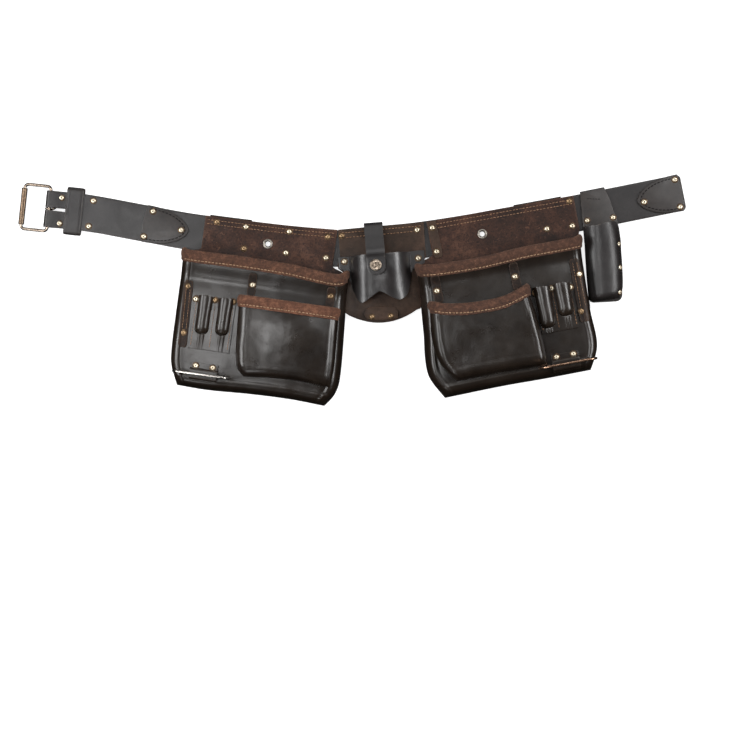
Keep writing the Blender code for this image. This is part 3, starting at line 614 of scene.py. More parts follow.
class Thread:
    """All the stitches of one thread on one body, as one piece."""

    def __init__(self):
        self.mesh = Mesh()

    def run(self, points, pitch=4.6, length=2.9, radius=0.5, closed=False):
        """Stitches along (place, normal) pairs, each dipping into the leather at its ends."""
        spots = [Vector(p) for p, _ in points]
        ups = [Vector(n).normalized() for _, n in points]
        ends = [0.0]
        for a, b in zip(spots, spots[1:]):
            ends.append(ends[-1] + (b - a).length)

        def at(distance):
            i = 0
            while i < len(ends) - 2 and distance > ends[i + 1]:
                i += 1
            u = (distance - ends[i]) / max(ends[i + 1] - ends[i], 1e-6)
            return spots[i].lerp(spots[i + 1], u), ups[i].lerp(ups[i + 1], u).normalized()

        count = max(1, int((ends[-1] + (0.0 if closed else pitch - length)) / pitch))
        pitch = (ends[-1] + (0.0 if closed else pitch - length)) / count
        for k in range(count):
            path = []
            for u, lift in ((0.0, -0.9), (0.14, 0.25), (0.5, 0.55), (0.86, 0.25), (1.0, -0.9)):
                spot, up = at(k * pitch + u * length)
                path.append(spot + up * lift * radius)
            up = at(k * pitch)[1]
            self.mesh.strip(tube_rings(path, radius, 6, up=up))
        return self

    def make(self, name, look, body, slot):
        return owned(self.mesh.make(name, [look]), body, ())


RIVET_PROFILE = (
    (0.0, 0.86), (0.55, 0.90), (0.85, 1.16), (1.5, 1.26), (2.2, 1.20), (2.75, 0.98), (3.1, 0.62), (
        3.25, 0.25
    ),
    (3.25, 0.10), (3.5, 0.30), (4.3, 0.34), (4.8, 0.12), (4.9, -0.6), (0.0, -0.6),
)
# Material of each band of the profile: 0 is the cap, 1 is dark metal. The dark band round the cap is painted
# shade for the recess the cap sits in, and the dimple at the centre is dark too.
RIVET_MARKS = (1, 1, 0, 0, 0, 0, 0, 1, 1, 1, 1, 1, 1)


def seat_matrix(spot, normal):
    turn = Vector((0, 0, 1)).rotation_difference(Vector(normal)).to_matrix().to_4x4()
    return Matrix.Translation(Vector(spot)) @ turn


def add_rivet(mesh, spot, normal=(0, 0, 1), size=1.0, aged=False):
    profile = [(r * size, z * size) for r, z in RIVET_PROFILE]
    marks = [2 if aged and mark == 0 else mark for mark in RIVET_MARKS]
    mesh.turn(profile, 24, seat_matrix(spot, normal), marks)


# ---------------------------------------------------------------- camera, light and floor

def build_studio():
    scene = bpy.context.scene
    camera = bpy.data.objects.new("camera", bpy.data.cameras.new("camera"))
    camera.location = [c * MM for c in CAMERA_SPOT]
    camera.data.lens = CAMERA_LENS
    camera.data.sensor_width = 36.0
    camera.data.clip_end = 20.0
    scene.collection.objects.link(camera)
    scene.camera = camera
    scene.view_settings.view_transform = "Standard"

    world = bpy.data.worlds.new("studio")
    world.use_nodes = True
    nodes, links = world.node_tree.nodes, world.node_tree.links
    height = nodes.new("ShaderNodeSeparateXYZ")
    links.new(nodes.new("ShaderNodeTexCoord").outputs["Generated"], height.inputs["Vector"])
    fade = nodes.new("ShaderNodeValToRGB")
    for element, (spot, value) in zip(fade.color_ramp.elements, ((0.0, 0.01), (0.9, 0.07))):
        element.position = spot
        element.color = (value, value, value, 1.0)
    links.new(height.outputs["Z"], fade.inputs["Fac"])
    links.new(fade.outputs["Color"], nodes["Background"].inputs["Color"])
    scene.world = world

    for name, spot, size, power in (
        ("softbox_left", (-1.9, 0.05, 1.25), (1.5, 0.60), 34.0),
        ("softbox_right", (1.9, 0.15, 1.3), (1.5, 0.60), 38.0),
        ("softbox_top", (-0.2, 2.5, 1.2), (2.0, 0.7), 13.0),
        ("softbox_low", (-1.1, -2.0, 1.1), (0.6, 0.5), 7.0),
        ("overhead_left", (-0.70, 0.02, 2.3), (0.50, 0.80), 15.0),
        ("overhead_right", (0.98, 0.82, 2.1), (0.55, 0.55), 11.0),
        ("overhead_low", (-0.72, -1.0, 2.1), (0.4, 0.4), 5.0),
    ):
        light = bpy.data.objects.new(name, bpy.data.lights.new(name, "AREA"))
        light.data.shape = "RECTANGLE"
        light.data.size, light.data.size_y = size
        light.data.energy = power
        light.location = spot
        light.rotation_euler = (Vector((0.0, -0.05, 0.0)) - Vector(spot)).to_track_quat("-Z", "Y").to_euler()
        scene.collection.objects.link(light)

    look = Look("pale_floor")
    look.set(Roughness=0.9, Emission_Strength=0.86, Specular_IOR_Level=0.0)
    look.shader.inputs["Emission Color"].default_value = (1.0, 1.0, 1.0, 1.0)
    tone = look.ramp(look.noise(220.0, 2.0), (0.3, (0.50, 0.50, 0.50)), (0.7, (0.54, 0.54, 0.54)))
    mesh = bpy.data.meshes.new("floor")
    mesh.from_pydata([(-6, -6, 0), (6, -6, 0), (6, 6, 0), (-6, 6, 0)], [], [(0, 1, 2, 3)])
    mesh.materials.append(look.finish(tone))
    floor = bpy.data.objects.new("floor", mesh)
    floor.location.z = -0.2 * MM
    floor.visible_glossy = False
    floor.visible_diffuse = False
    scene.collection.objects.link(floor)


# ---------------------------------------------------------------- strap, keeper and buckle

def strap_path():
    """Rear layer of the fold, round the buckle bar, then the whole front layer."""
    rear = Z_MID + STRAP_THICK / 2
    front = Z_STRAP + STRAP_THICK / 2
    path = [(x, rear) for x in steps(FOLD_END, BAR_X + 13, 16)]
    path += [
        (BAR_X + 9.5, blend(rear, BAR_Z - FOLD_RADIUS, 0.22)),
        (BAR_X + 6.5, blend(rear, BAR_Z - FOLD_RADIUS, 0.55))
    ]
    path += [(BAR_X + 3.2, blend(rear, BAR_Z - FOLD_RADIUS, 0.88))]
    path += arc(BAR_X, BAR_Z, FOLD_RADIUS, -90, -270, 20)
    path += [
        (BAR_X + out, blend(front, BAR_Z + FOLD_RADIUS, u)) for out,
        u in ((4.5, 0.90), (10.0, 0.58), (15.5, 0.24))
    ]
    path += [(x, front) for x in steps(BAR_X + 20.5, STRAP_END - 8, 190)]
    return path


def slot_cutter():
    """Long round-ended hole through both layers at the buckle."""
    outline = [on_belt(BAR_X - 12.0, SLOT_HALF)[:2]]
    outline += [
        on_belt(SLOT_END + SLOT_HALF * math.sin(math.radians(a)), SLOT_HALF * math.cos(math.radians(a)))[:2]
        for a in steps(0, 180, 10)
    ]
    outline.append(on_belt(BAR_X - 12.0, -SLOT_HALF)[:2])
    mesh = Mesh()
    mesh.strip([[(x, y, z) for x, y in outline] for z in (-3.0, 16.0)])
    return hide_tool(mesh.make("slot_cutter", [BLACK]))


def eyelet_cutter(radius):
    """Round holes through every layer at the two eyelets."""
    mesh = Mesh()
    for where, spot in EYELETS:
        mesh.strip(
            [[(x, y, z) for x, y in arc(*place(where, *spot), radius, 0, 350, 35)] for z in (-3.0, 20.0)]
        )
    return hide_tool(mesh.make("eyelet_cutter", [BROWN]))


def build_strap():
    halves = steps(-1.0, 1.0, 18)
    rows = []
    for x, z in strap_path():
        row = []
        for h in halves:
            point = on_belt(x, STRAP_HALF * h)
            row.append((point[0], point[1], z + 0.16 * rough(point[0], point[1], 30.0) * (1.0 - h**6)))
        rows.append(row)
    front = Z_STRAP + STRAP_THICK / 2
    for forward, width in ((2.5, 0.995), (4.5, 0.975), (6.2, 0.93), (7.4, 0.87), (8.0, 0.8)):
        rows.append([on_belt(STRAP_END - 8 + forward, STRAP_HALF * h * width, front) for h in halves])
    tools = (slot_cutter(), eyelet_cutter(EYELET_HOLE))
    strap = sheet("strap_leather", rows, STRAP_THICK, BLACK_SIDES, offset=0.0, edge=0.8, tools=tools)
    for tool in tools:
        bpy.data.objects.remove(tool, do_unlink=True)
    owned(strap, "belt", ("belt_strap",))


def build_tongue():
    tip = 16.0
    half = 19.0
    start, end = 178.0, 418.0
    upper = [on_belt(x, half)[:2] for x in steps(start + tip, end, 30)]
    lower = [on_belt(x, -half)[:2] for x in steps(end, start + tip, 30)]
    nose = [
        on_belt(start + tip - tip * math.cos(math.radians(a)), half * math.sin(math.radians(a)))[:2]
        for a in steps(-76, 76, 16)
    ]
    mesh = Mesh()
    for i in range(8):
        cx, cy, _ = on_belt(start + 26 + i * 25.4, 0)
        mesh.strip([[(x, y, z) for x, y in arc(cx, cy, 3.0, 0, 345, 23)] for z in (-3.0, 16.0)])
    tool = hide_tool(mesh.make("tongue_holes", [BLACK]))
    tongue = flat(
        "tongue_leather", upper + lower + nose, Z_MID, STRAP_THICK, BLACK_SIDES, edge=0.8, tools=(tool,)
    )
    bpy.data.objects.remove(tool, do_unlink=True)
    owned(tongue, "belt", ("tongue_strap",))


def teardrop(blunt, tip, half, inset=0.0):
    """Half-round patch outline: blunt side across the strap, tip on its middle."""
    toward = 1.0 if tip > blunt else -1.0
    near = blunt + toward * inset
    far = tip - toward * inset
    upper = []
    for u in steps(0.0, 1.0, 36):
        along = math.sin(u * math.pi / 2)
        upper.append((blend(near, far, along), (half - inset) * (1.0 - along**2.4) ** 0.62))
    return upper + [(x, -w) for x, w in reversed(upper[:-1])]


def build_patches(thread, rivets):
    for side, blunt, tip in (("left", -321.0, -260.5), ("right", 423.0, 363.0)):
        bulge = (blunt - tip) * 0.045
        outline = teardrop(blunt, tip, PATCH_HALF)
        rim = [(blunt + bulge * math.cos(k * math.pi / 2), PATCH_HALF * k) for k in steps(-0.92, 0.92, 12)]
        patch = flat(
            "patch_leather_" + side, [on_belt(x, w)[:2] for x, w in outline + rim], Z_PANEL, PANEL_THICK,
            BLACK_SIDES, edge=0.9,
        )
        owned(patch, "belt", ("strap_patch_" + side,))
        top = Z_FRONT + 0.05
        line = [(on_belt(x, w, top), (0, 0, 1)) for x, w in teardrop(blunt, tip, PATCH_HALF, 4.6)]
        thread.run(line, 5.2, 3.2, 0.62)
    for x, across in (
        (-313.0, 18.5), (-319.0, -18.5), (-270.5, 0.0), (418.5, 19.0), (418.5, -19.5), (371.5, -3.0)
    ):
        add_rivet(rivets, on_belt(x, across, Z_FRONT))


def build_keeper():
    """Wide leather loop round both layers of the strap, its edges rounded over."""
    turn = Matrix.Rotation(belt_slope(KEEPER_X), 4, "Z")
    height = Z_STRAP + STRAP_THICK + GAP + 2.2
    where = Matrix.Translation((KEEPER_X, belt_line(KEEPER_X), height / 2)) @ turn
    path = rounded_rectangle(32.1, height / 2 - 1.1, 3.9, 10)
    long_path = []
    for a, b in zip(path, path[1:] + path[:1]):
        pieces = max(1, int(math.dist(a, b) / 3.0))
        long_path += [(blend(a[0], b[0], k / pieces), blend(a[1], b[1], k / pieces)) for k in range(pieces)]
    section = [(0.0, 1.1), (5.0, 1.16), (9.4, 1.1), (9.9, 0.86), (10.5, 1.06), (11.4, 0.85), (11.9, 0.3)]
    profile = section + [(w, -t) for w, t in reversed(section[:-1])]
    profile += [(-w, -t) for w, t in section[1:]] + [(-w, t) for w, t in reversed(section[1:-1])]
    profile = [(w, max(t, -1.1)) for w, t in profile]
    mesh = Mesh()
    rings = []
    total = len(long_path)
    for i, (y, z) in enumerate(long_path):
        after = long_path[(i + 1) % total]
        before = long_path[i - 1]
        out = Vector((after[1] - before[1], before[0] - after[0])).normalized()
        ring = []
        for w, t in profile:
            swell = 0.12 * rough(y * 0.8 + 40.0, w + z, 8.0)
            ring.append(where @ Vector((w, y + out.x * (t + swell), z + out.y * (t + swell))))
        rings.append(ring)
    mesh.strip(rings, closed_path=True)
    owned(mesh.make("keeper_leather", [BLACK]), "keeper", ("keeper_loop",))


def build_buckle():
    hinge = Vector(on_belt(BAR_X, 0, BAR_Z))
    where = Matrix.Translation(hinge) @ Matrix.Rotation(belt_slope(BAR_X), 4, "Z")
    outline = rounded_rectangle(BUCKLE_REACH / 2, BUCKLE_HALF, 5.4, 12)
    loop = [where @ Vector((x - BUCKLE_REACH / 2, y, 0.0)) for x, y in outline]
    frame_mesh = Mesh()
    frame_mesh.strip(tube_rings(loop, WIRE, 24, closed=True), closed_path=True)
    seam = [where @ Vector((-2.0, y, 0.0)) for y in (-2.0, 2.0)]
    frame_mesh.strip(
        tube_rings([seam[0].lerp(seam[1], u) for u in (0, 0.2, 0.5, 0.8, 1)],
        lambda u: 0.5 + 0.3 * math.sin(u * 3.1), 8)
    )
    owned(frame_mesh.make("buckle_wire", [NICKEL]), "buckle", ("buckle_frame",))

    lay = where @ Matrix.Translation((-BUCKLE_REACH, 0, 0)) @ Matrix.Rotation(math.radians(90), 4, "X")
    profile = [
        (2.55, 25.3), (3.0, 25.5), (3.6, 25.45), (3.95, 25.0), (4.05, 24.2), (4.0, 23.0), (3.94, 12.0),
        (3.97, 0.0)
    ]
    profile += [(r, -z) for r, z in reversed(profile[:-1])]
    profile.append(profile[0])
    roller = Mesh()
    roller.turn(profile, 40, lay, shape=lambda i, r, z: (r - 0.28 if i == 0 and r > 3.5 else r, z))
    owned(roller.make("roller_tube", [BRONZE]), "roller", ("buckle_roller",))

    curl = WIRE + GAP + 1.6
    path = [(x, z) for x, z in arc(0, 0, curl, -150, 90, 26)]
    path += [(-38.0 * u, curl - 0.9 * u * u) for u in steps(0.08, 0.97, 14)]
    rest = where @ Matrix.Rotation(math.radians(PRONG_REST), 4, "Y")
    spots = [rest @ Vector((x, 0.0, z)) for x, z in path]
    side = rest.to_3x3() @ Vector((0, 1, 0))
    prong = Mesh()
    prong.strip(
        tube_rings(spots, lambda u: 1.6
            if u < 0.9 else 1.6 * (1.0 - ((u - 0.9) / 0.1) ** 2 * 0.55), 16, up=side)
    )
    owned(prong.make("prong_wire", [NICKEL]), "prong", ("buckle_prong",))


def channel_section(half, thick, top):
    """Across the strap: up one side, under the back, up the other side."""
    bend = 3.0
    low = thick / 2
    section = [(-half, top), (-half, top * 0.66)]
    section += arc(-half + bend, bend + low, bend, 180, 270, 6)
    section += [(a, low) for a in steps(-half + bend + 2, half - bend - 2, 14)]
    section += arc(half - bend, bend + low, bend, 270, 360, 6)
    return section + [(half, top * 0.66), (half, top)]


def build_rear(thread):
    """Backing plate, and the channels that carry the strap behind each pouch."""
    plate = [place(CENTRE, x, y) for x, y in rounded_rectangle(44.0, 24.0, 8.0, 8)]
    backing = flat("backing_leather", plate, 0.0, LINING, BROWN_SIDES)
    owned(backing, "belt", ("rear_backing",))
    ring = [(*place(CENTRE, x, y), 0.45) for x, y in rounded_rectangle(39.5, 19.5, 5.0, 6)]
    thread.run([(p, (0, 0, -1)) for p in ring + ring[:1]], 4.2, 3.1, 0.40, closed=True)
    top = Z_STRAP + STRAP_THICK
    thick = TUNNEL_THICK
    outer = STRAP_HALF + 0.5 + thick / 2
    section = channel_section(outer, thick, top)
    for side, start, end in (("left", -234.0, -176.0), ("right", 196.0, 262.0)):
        rows = [[on_belt(x, a, z) for a, z in section] for x in steps(start, end, 24)]
        tunnel = sheet("tunnel_leather_" + side, rows, thick, [FLESH, BROWN, EDGE], offset=0.0, edge=0.4)
        owned(tunnel, "belt", ("rear_tunnel_" + side,))
        for edge_x in (start + 4.0, end - 4.0):
            thread.run(
                [(on_belt(edge_x, a, 0.42), (0, 0, -1)) for a in steps(-22.0, 22.0, 12)], 4.2, 3.1, 0.38
            )


# ---------------------------------------------------------------- pouches

EDGE_STEPS = (
    0.0, 0.25, 0.7, 1.4, 2.3, 3.4, 4.7, 6.1, 7.5, 8.7, 9.8, 10.8, 11.8, 12.8, 13.9, 15.2, 17.0, 19.5
)


def shoulder(distance, wall):
    """How far a wall has risen at this distance from the outline, 0 to 1."""
    u = min(max(distance / wall, 0.0), 1.0)
    return (1.0 - (1.0 - u) ** 2.5) ** 0.5


def welt(distance, wall):
    """Turned seam between wall and face: a soft ridge and the crease inside it."""
    return 0.85 * hump(distance, wall, 1.7) - 0.75 * hump(distance, wall + 3.6, 1.9)


class Pocket:
    """A box pocket over a floor, as one height over its local x and y."""

    def __init__(self, where, floor, mouth, bottom, left, right, depth, wall, belly, welt_size, seed):
        self.where = where
        self.floor = floor
        self.mouth = through(mouth)
        self.bottom = through(bottom)
        self.left = through(left)
        self.right = through(right)
        self.depth = depth
        self.wall = wall
        self.belly = belly
        self.welt = welt_size
        self.seed = seed

    def height(self, x, y):
        low = x - self.left(y)
        high = self.right(y) - x
        under = y - self.bottom(x)
        t = (self.mouth(x) - y) / (self.mouth(x) - self.bottom(x))
        s = min(1.0, abs(low - high) / max(low + high, 1.0))
        side = shoulder(low, self.wall) * shoulder(high, self.wall)
        rise = side * shoulder(under, self.wall * 1.25)
        open_part = 0.88 + 0.12 * smooth_step(0.0, 0.35, t)
        dome = (1.0 - s**2.4) * (0.45 + 0.55 * math.sin(math.pi * min(max(0.14 + 0.76 * t, 0.0), 1.0)))
        face = self.depth * rise * (open_part * (1.0 - self.belly) + self.belly * dome)
        seam = self.welt * (welt(low, self.wall) + welt(high, self.wall)) * rise
        seam += self.welt * welt(under, self.wall * 1.25) * side
        uneven = 0.8 * rough(x, y, 62.0, self.seed) + 0.12 * rough(x, y * 0.6, 17.0, self.seed + 7.0)
        return self.floor(x, y) + SEAT + face + seam + uneven * rise

    def spot(self, x, y, lift=0.0):
        """Point over the leather with the direction out of it."""
        slope_x = (self.height(x + 0.5, y) - self.height(x - 0.5, y))
        slope_y = (self.height(x, y + 0.5) - self.height(x, y - 0.5))
        out = Vector((-slope_x, -slope_y, 1.0)).normalized()
        return Vector((x, y, self.height(x, y))) + out * lift, out

    def columns(self, y):
        """Local x of each column at this level, close together over the walls."""
        left, right = self.left(y), self.right(y)
        near = [left + d for d in EDGE_STEPS]
        far = [right - d for d in reversed(EDGE_STEPS)]
        count = 44
        return near + steps(near[-1], far[0], count)[1:-1] + far

    def rows(self):
        levels = steps(0.0, 1.0, 46)[:-1]
        result = []
        mouth = self.mouth(0.0)
        bottom = self.bottom(0.0)
        reach = mouth - bottom
        spots = [t * (reach - EDGE_STEPS[-1]) for t in levels]
        spots += [reach - d for d in reversed(EDGE_STEPS)]
        for down in spots:
            level = mouth - down
            row = []
            for x in self.columns(level):
                y = blend(self.mouth(x), self.bottom(x), down / reach)
                row.append((x, y, self.height(x, y)))
            result.append(row)
        return result

    def build(self, name, node):
        made = sheet(name, self.rows(), POCKET_THICK, POCKET_SIDES, self.where, edge=0.5)
        return owned(made, "belt", (node,))

    def binding(self, name, node, look):
        """Suede folded over the mouth, from well inside to the sewn edge outside."""
        level = self.mouth(0.0)
        columns = self.columns(level)[2:-2]
        path = [
            (8.5, -3.6), (5.0, -3.8), (2.0, -3.9), (-0.4, -3.7), (-1.7, -2.9), (-2.5, -1.4), (-2.4, 0.2),
            (-1.5, 1.6)
        ]
        path += [
            (0.2, 2.4), (2.0, 2.75), (4.0, 2.8), (6.0, 2.5), (8.0, 1.95), (9.4, 1.45), (10.4, 1.2),
            (11.6, 1.35)
        ]
        path += [(12.6, 1.25), (TRIM_WIDTH, 0.95)]
        rows = []
        for drop, lift in path:
            row = []
            for x in columns:
                top = self.mouth(x)
                y = top - max(drop, 0.0)
                point, out = self.spot(x, y)
                ripple = 0.28 * rough(x, y, 5.0, self.seed)
                push = Vector((out.x, 0.0, out.z)).normalized() * (lift + ripple)
                row.append((point.x + push.x, top - drop + 0.3 * rough(x, drop, 9.0), point.z + push.z))
            rows.append(row)
        made = sheet(name, rows, 1.7, [look], self.where, offset=0.0, edge=0.6)
        return owned(made, "belt", (node,))

    def seam_line(self, x_start, x_end, drop, lift, count=60):
        line = []
        for x in steps(x_start, x_end, count):
            point, out = self.spot(x, self.mouth(x) - drop, lift)
            line.append((placed(self.where, point), turned_out(self.where, out)))
        return line

    def rivet(self, mesh, x, y, lift=0.0, aged=False):
        point, out = self.spot(x, y, lift)
        add_rivet(mesh, placed(self.where, point), turned_out(self.where, out), aged=aged)


def turned_out(where, out):
    return Matrix.Rotation(math.radians(where[2]), 3, "Z") @ Vector(out)


def panel_level(y):
    """The back panel comes down from the strap's face to the bench."""
    return Z_PANEL * (1.0 - smooth_step(36.0, 66.0, -y))


def panel_face(x, y):
    return panel_level(y) + PANEL_THICK


LEFT_MAIN = Pocket(
    LEFT, panel_face,
    (
        (-124, -25.5), (-117, -29.0), (-46, -28.6), (25, -29.8), (67, -33.4), (89, -34.6), (99, -32.5),
        (106, -26.0)
    ),
    ((-115, -213.0), (-67, -214.4), (-6, -211.8), (50, -211.2), (100, -213.8)),
    ((-20, -123.6), (-120, -123.4), (-165, -122.5), (-187, -119.5), (-214, -107.5)),
    ((-20, 105.5), (-60, 107.8), (-112, 112.0), (-175, 115.0), (-194, 110.8), (-214, 97.0)),
    MAIN_DEPTH, 12.0, 0.14, 0.55, 1.0,
)
RIGHT_MAIN = Pocket(
    RIGHT, panel_face,
    ((-120, -31.0), (-112, -35.6), (-87, -38.2), (-30, -39.6), (27, -36.6), (104, -35.8), (111, -32.0)),
    ((-112, -218.6), (-30, -217.0), (30, -217.6), (94, -217.2)),
    ((-20, -119.4), (-64, -120.6), (-127, -126.0), (-183, -130.2), (-219, -111.5)),
    ((-20, 111.0), (-54, 109.6), (-135, 107.4), (-185, 107.8), (-219, 92.5)),
    MAIN_DEPTH, 12.0, 0.07, 0.55, 2.0,
)
LEFT_FRONT = Pocket(
    LEFT, LEFT_MAIN.height,
    ((-38, -80.6), (30, -80.8), (104, -80.6)),
    ((-16, -188.5), (46, -184.0), (104, -187.0)),
    ((-80, -36.5), (-125, -33.8), (-160, -30.6), (-178, -25.5), (-189, -15.5)),
    ((-80, 101.5), (-125, 104.0), (-160, 105.5), (-188, 103.5)),
    FRONT_DEPTH, 12.0, 0.50, 0.12, 3.0,
)
RIGHT_FRONT = Pocket(
    RIGHT, RIGHT_MAIN.height,
    ((-113, -86.5), (-92, -93.5), (-69, -97.8), (-40, -99.6), (-13, -98.6), (6, -94.0), (24, -87.6)),
    ((-94, -198.2), (-30, -197.4), (33, -199.0)),
    ((-86, -111.5), (-143, -117.4), (-172, -112.5), (-199, -94.5)),
    ((-86, 24.5), (-149, 31.0), (-199, 33.0)),
    FRONT_DEPTH, 12.0, 0.05, 0.16, 4.0,
)

PANELS = {
    "left": (LEFT_MAIN, (-101.0, 83.0), through(((-102, 25.6), (-53, 26.2), (17, 27.8), (90, 31.6)))),
    "right": (RIGHT_MAIN, (-94.5, 113.0), through(((-95, 26.6), (10, 26.2), (113, 25.6)))),
}


def build_panel(side, pocket, neck, top):
    """Back panel: narrow at the belt, as wide as the pocket below it."""
    rows = []
    for level in steps(26.0, -20.0, 20)[:-1] + steps(-20.0, -216.0, 74):
        wide = smooth_step(20.0, 30.0, -level)
        low = blend(neck[0], pocket.left(level), wide)
        high = blend(neck[1], pocket.right(level), wide)
        row = []
        for x in steps(low, high, 64):
            above = smooth_step(-20.0, 26.0, level)
            y = level + above * (top(x) - 26.0)
            if level < -190.0:
                y = blend(level, pocket.bottom(x) - (-216.0 - level), (-190.0 - level) / 26.0)
            edge = min(x - low, high - x, 8.0) / 8.0
            wave = 0.25 * rough(x, y, 40.0, 9.0) * edge
            row.append((x, y, panel_level(level) + max(wave, -0.1)))
        rows.append(row)
    tool = eyelet_cutter(EYELET_HOLE)
    panel = sheet("panel_leather_" + side, rows, PANEL_THICK, BROWN_SIDES, pocket.where, 1.0, 0.5, (tool,))
    bpy.data.objects.remove(tool, do_unlink=True)
    owned(panel, "belt", (side + "_pouch_panel",))


def panel_stitches(thread, pocket, neck, top, drop, clear=()):
    """Row of stitches under a panel's top edge, broken where clear says."""
    line = []
    for x in steps(neck[0] + 4.0, neck[1] - 4.0, 90):
        spot = placed(pocket.where, (x, top(x) - drop, Z_FRONT + 0.1))
        if any(abs(x - centre) < half for centre, half in clear):
            if len(line) > 1:
                thread.run(line)
            line = []
        else:
            line.append((spot, (0, 0, 1)))
    if len(line) > 1:
        thread.run(line)


def build_eyelets():
    mesh = Mesh()
    profile = [
        (3.5, -3.4), (4.35, -3.4), (4.4, 0.0), (6.3, 0.02), (6.75, 0.28), (6.5, 0.75), (5.7, 1.02),
        (4.7, 0.85)
    ]
    profile += [(4.0, 0.3), (3.6, -0.6), (3.5, -3.4)]
    low = Z_FRONT
    for where, spot in EYELETS:
        mesh.turn(profile, 40, Matrix.Translation((*place(where, *spot), low)))
    owned(mesh.make("eyelet_rings", [EYELET]), "belt", ("eyelet_left", "eyelet_right"))


class Slots:
    """One piece of leather on a pocket's face, raised into upright tool tubes."""

    def __init__(self, pocket, tubes, left, right, mouth, bottom):
        self.pocket = pocket
        self.tubes = tubes
        self.left = left
        self.right = right
        self.mouth = mouth
        self.bottom = bottom

    def height(self, x, y):
        z = self.pocket.height(x, y) + 0.5
        for centre, half, low in self.tubes:
            u = (x - centre) / (half * (1.0 + 0.10 * smooth_step(self.mouth - 30.0, self.mouth, y)))
            v = max(0.0, (low + half * 0.95 - y) / (half * 0.95))
            round_part = max(0.0, 1.0 - abs(u) ** 2.2 - v**2.2)
            z += half * 1.08 * math.sqrt(round_part)
            if y < low:
                below = low - y
                crease = hump(u * half, 2.4, 1.5) + hump(u * half, -2.0, 1.3)
                z += 0.9 * crease * math.exp(-below / 16.0) * smooth_step(0.0, 2.5, below)
        return z

    def build(self, name, node):
        columns = steps(self.left, self.right, int((self.right - self.left) / 0.8))
        rows = []
        for down in steps(0.0, 1.0, int((self.mouth - self.bottom) / 1.3)):
            row = []
            for x in columns:
                level = blend(self.mouth, self.bottom, down)
                y = level + 0.8 * math.sin(x * 0.21) * (1.0 - down)
                row.append((x, y, self.height(x, y)))
            rows.append(row)
        made = sheet(name, rows, OVERLAY_THICK, POCKET_SIDES, self.pocket.where, 1.0, 0.45)
        return owned(made, "belt", (node,))


def build_strip(name, node, pocket, centre, half, top, bottom):
    """Flat strip on a pocket's face, its ends rounded."""
    rows = []
    for level in steps(top, bottom, int((top - bottom) / 2.5)):
        near_end = min(top - level, level - bottom)
        width = half * (1.0 - 0.35 * (1.0 - min(near_end / 4.0, 1.0)) ** 2)
        rows.append(
            [(centre(level) + width * h, level, pocket.height(centre(level) + width * h,
            level) + 0.6) for h in steps(-1, 1, 8)]
        )
    made = sheet(name, rows, OVERLAY_THICK, DARK_AND_SHADE_SIDES, pocket.where, 1.0, 0.5)
    return owned(made, "belt", (node,) if node else ())


def column_stitches(thread, pocket, centre, top, bottom, lift=2.65):
    line = []
    for level in steps(top, bottom, 40):
        point, out = pocket.spot(centre(level), level, lift)
        line.append((placed(pocket.where, point), turned_out(pocket.where, out)))
    thread.run(line, 3.9, 2.8, 0.38)


def build_ring(side, pocket, centre, y, look):
    """Wire ring that carries a hammer, with the closed seam of its wire."""
    node = side + "_hammer_loop"
    low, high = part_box(node)
    foot = low[2] / MM + RING_WIRE
    reach = (high[2] - low[2]) / MM - 2 * RING_WIRE
    turn = Matrix.Rotation(math.radians(pocket.where[2]), 4, "Z")
    where = Matrix.Translation((*place(pocket.where, centre, y), foot)) @ turn
    path = [where @ Vector((x, 0.0, h + reach / 2)) for x, h in rounded_rectangle(38.0, reach / 2, 11.0, 14)]
    mesh = Mesh()
    mesh.strip(tube_rings(path, RING_WIRE, 20, closed=True, up=Vector((0, 1, 0))), closed_path=True)
    owned(mesh.make(side + "_ring_wire", [look]), side + "_ring", (node,))
    return foot


def build_tab(side, pocket, centre, y, foot, rivets):
    """Leather tab sewn over the ring's foot."""
    clear = RING_WIRE + 0.6
    half = 19.0
    rows = []
    for up in steps(15.0, -9.0, 34):
        bridge = math.sqrt(max(0.0, 1.0 - (up / 6.5) ** 2))
        row = []
        for k in steps(-1.0, 1.0, 24):
            x = centre + half * k
            face = pocket.height(x, y + up) + 0.5
            row.append((x, y + up, max(face, blend(face, foot + clear + 0.3, min(1.0, bridge * 1.6)))))
        rows.append(row)
    made = sheet(side + "_tab_leather", rows, 2.0, POCKET_SIDES, pocket.where, 1.0, 0.5)
    owned(made, "belt", (side + "_hammer_tab",))
    for k in (-0.62, 0.62):
        pocket.rivet(rivets, centre + half * k, y + 11.0, 2.6)


# ---------------------------------------------------------------- centre holster

def holster_swell(x, y):
    u = min(abs(x - 4.0) / 40.0, 1.0)
    rise = (1.0 - u**2.8) ** 0.8
    fall = blend(1.0, 0.84, smooth_step(25.0, 75.0, -y))
    return 26.0 * rise * fall - 1.4 * hump(x, -2.0, 12.0) * smooth_step(5.0, 20.0, -y)


HOLSTER_EDGE = through((
    (-53.0, -27.0), (-49.0, -28.2), (-45.5, -30.5), (-41.5, -38.0), (-37.0, -49.0), (
        -32.5, -62.0
    ), (-29.0, -71.5),
    (-25.5, -76.0), (-20.5, -74.8), (-12.0, -69.0), (-4.0, -64.0), (0.5, -62.0), (5.0, -63.6), (12.0, -68.5),
    (20.0, -73.6), (26.0, -75.6), (31.5, -73.8), (36.0, -69.5), (38.6, -64.0), (41.0, -54.0), (43.8, -44.0),
    (48.0, -35.5), (54.0, -31.0), (60.0, -29.2), (66.0, -27.0),
))


def holster_top(x):
    return -10.0 - 1.2 * hump(x, 5.0, 22.0) + 0.8 * hump(x, 57.0, 9.0)


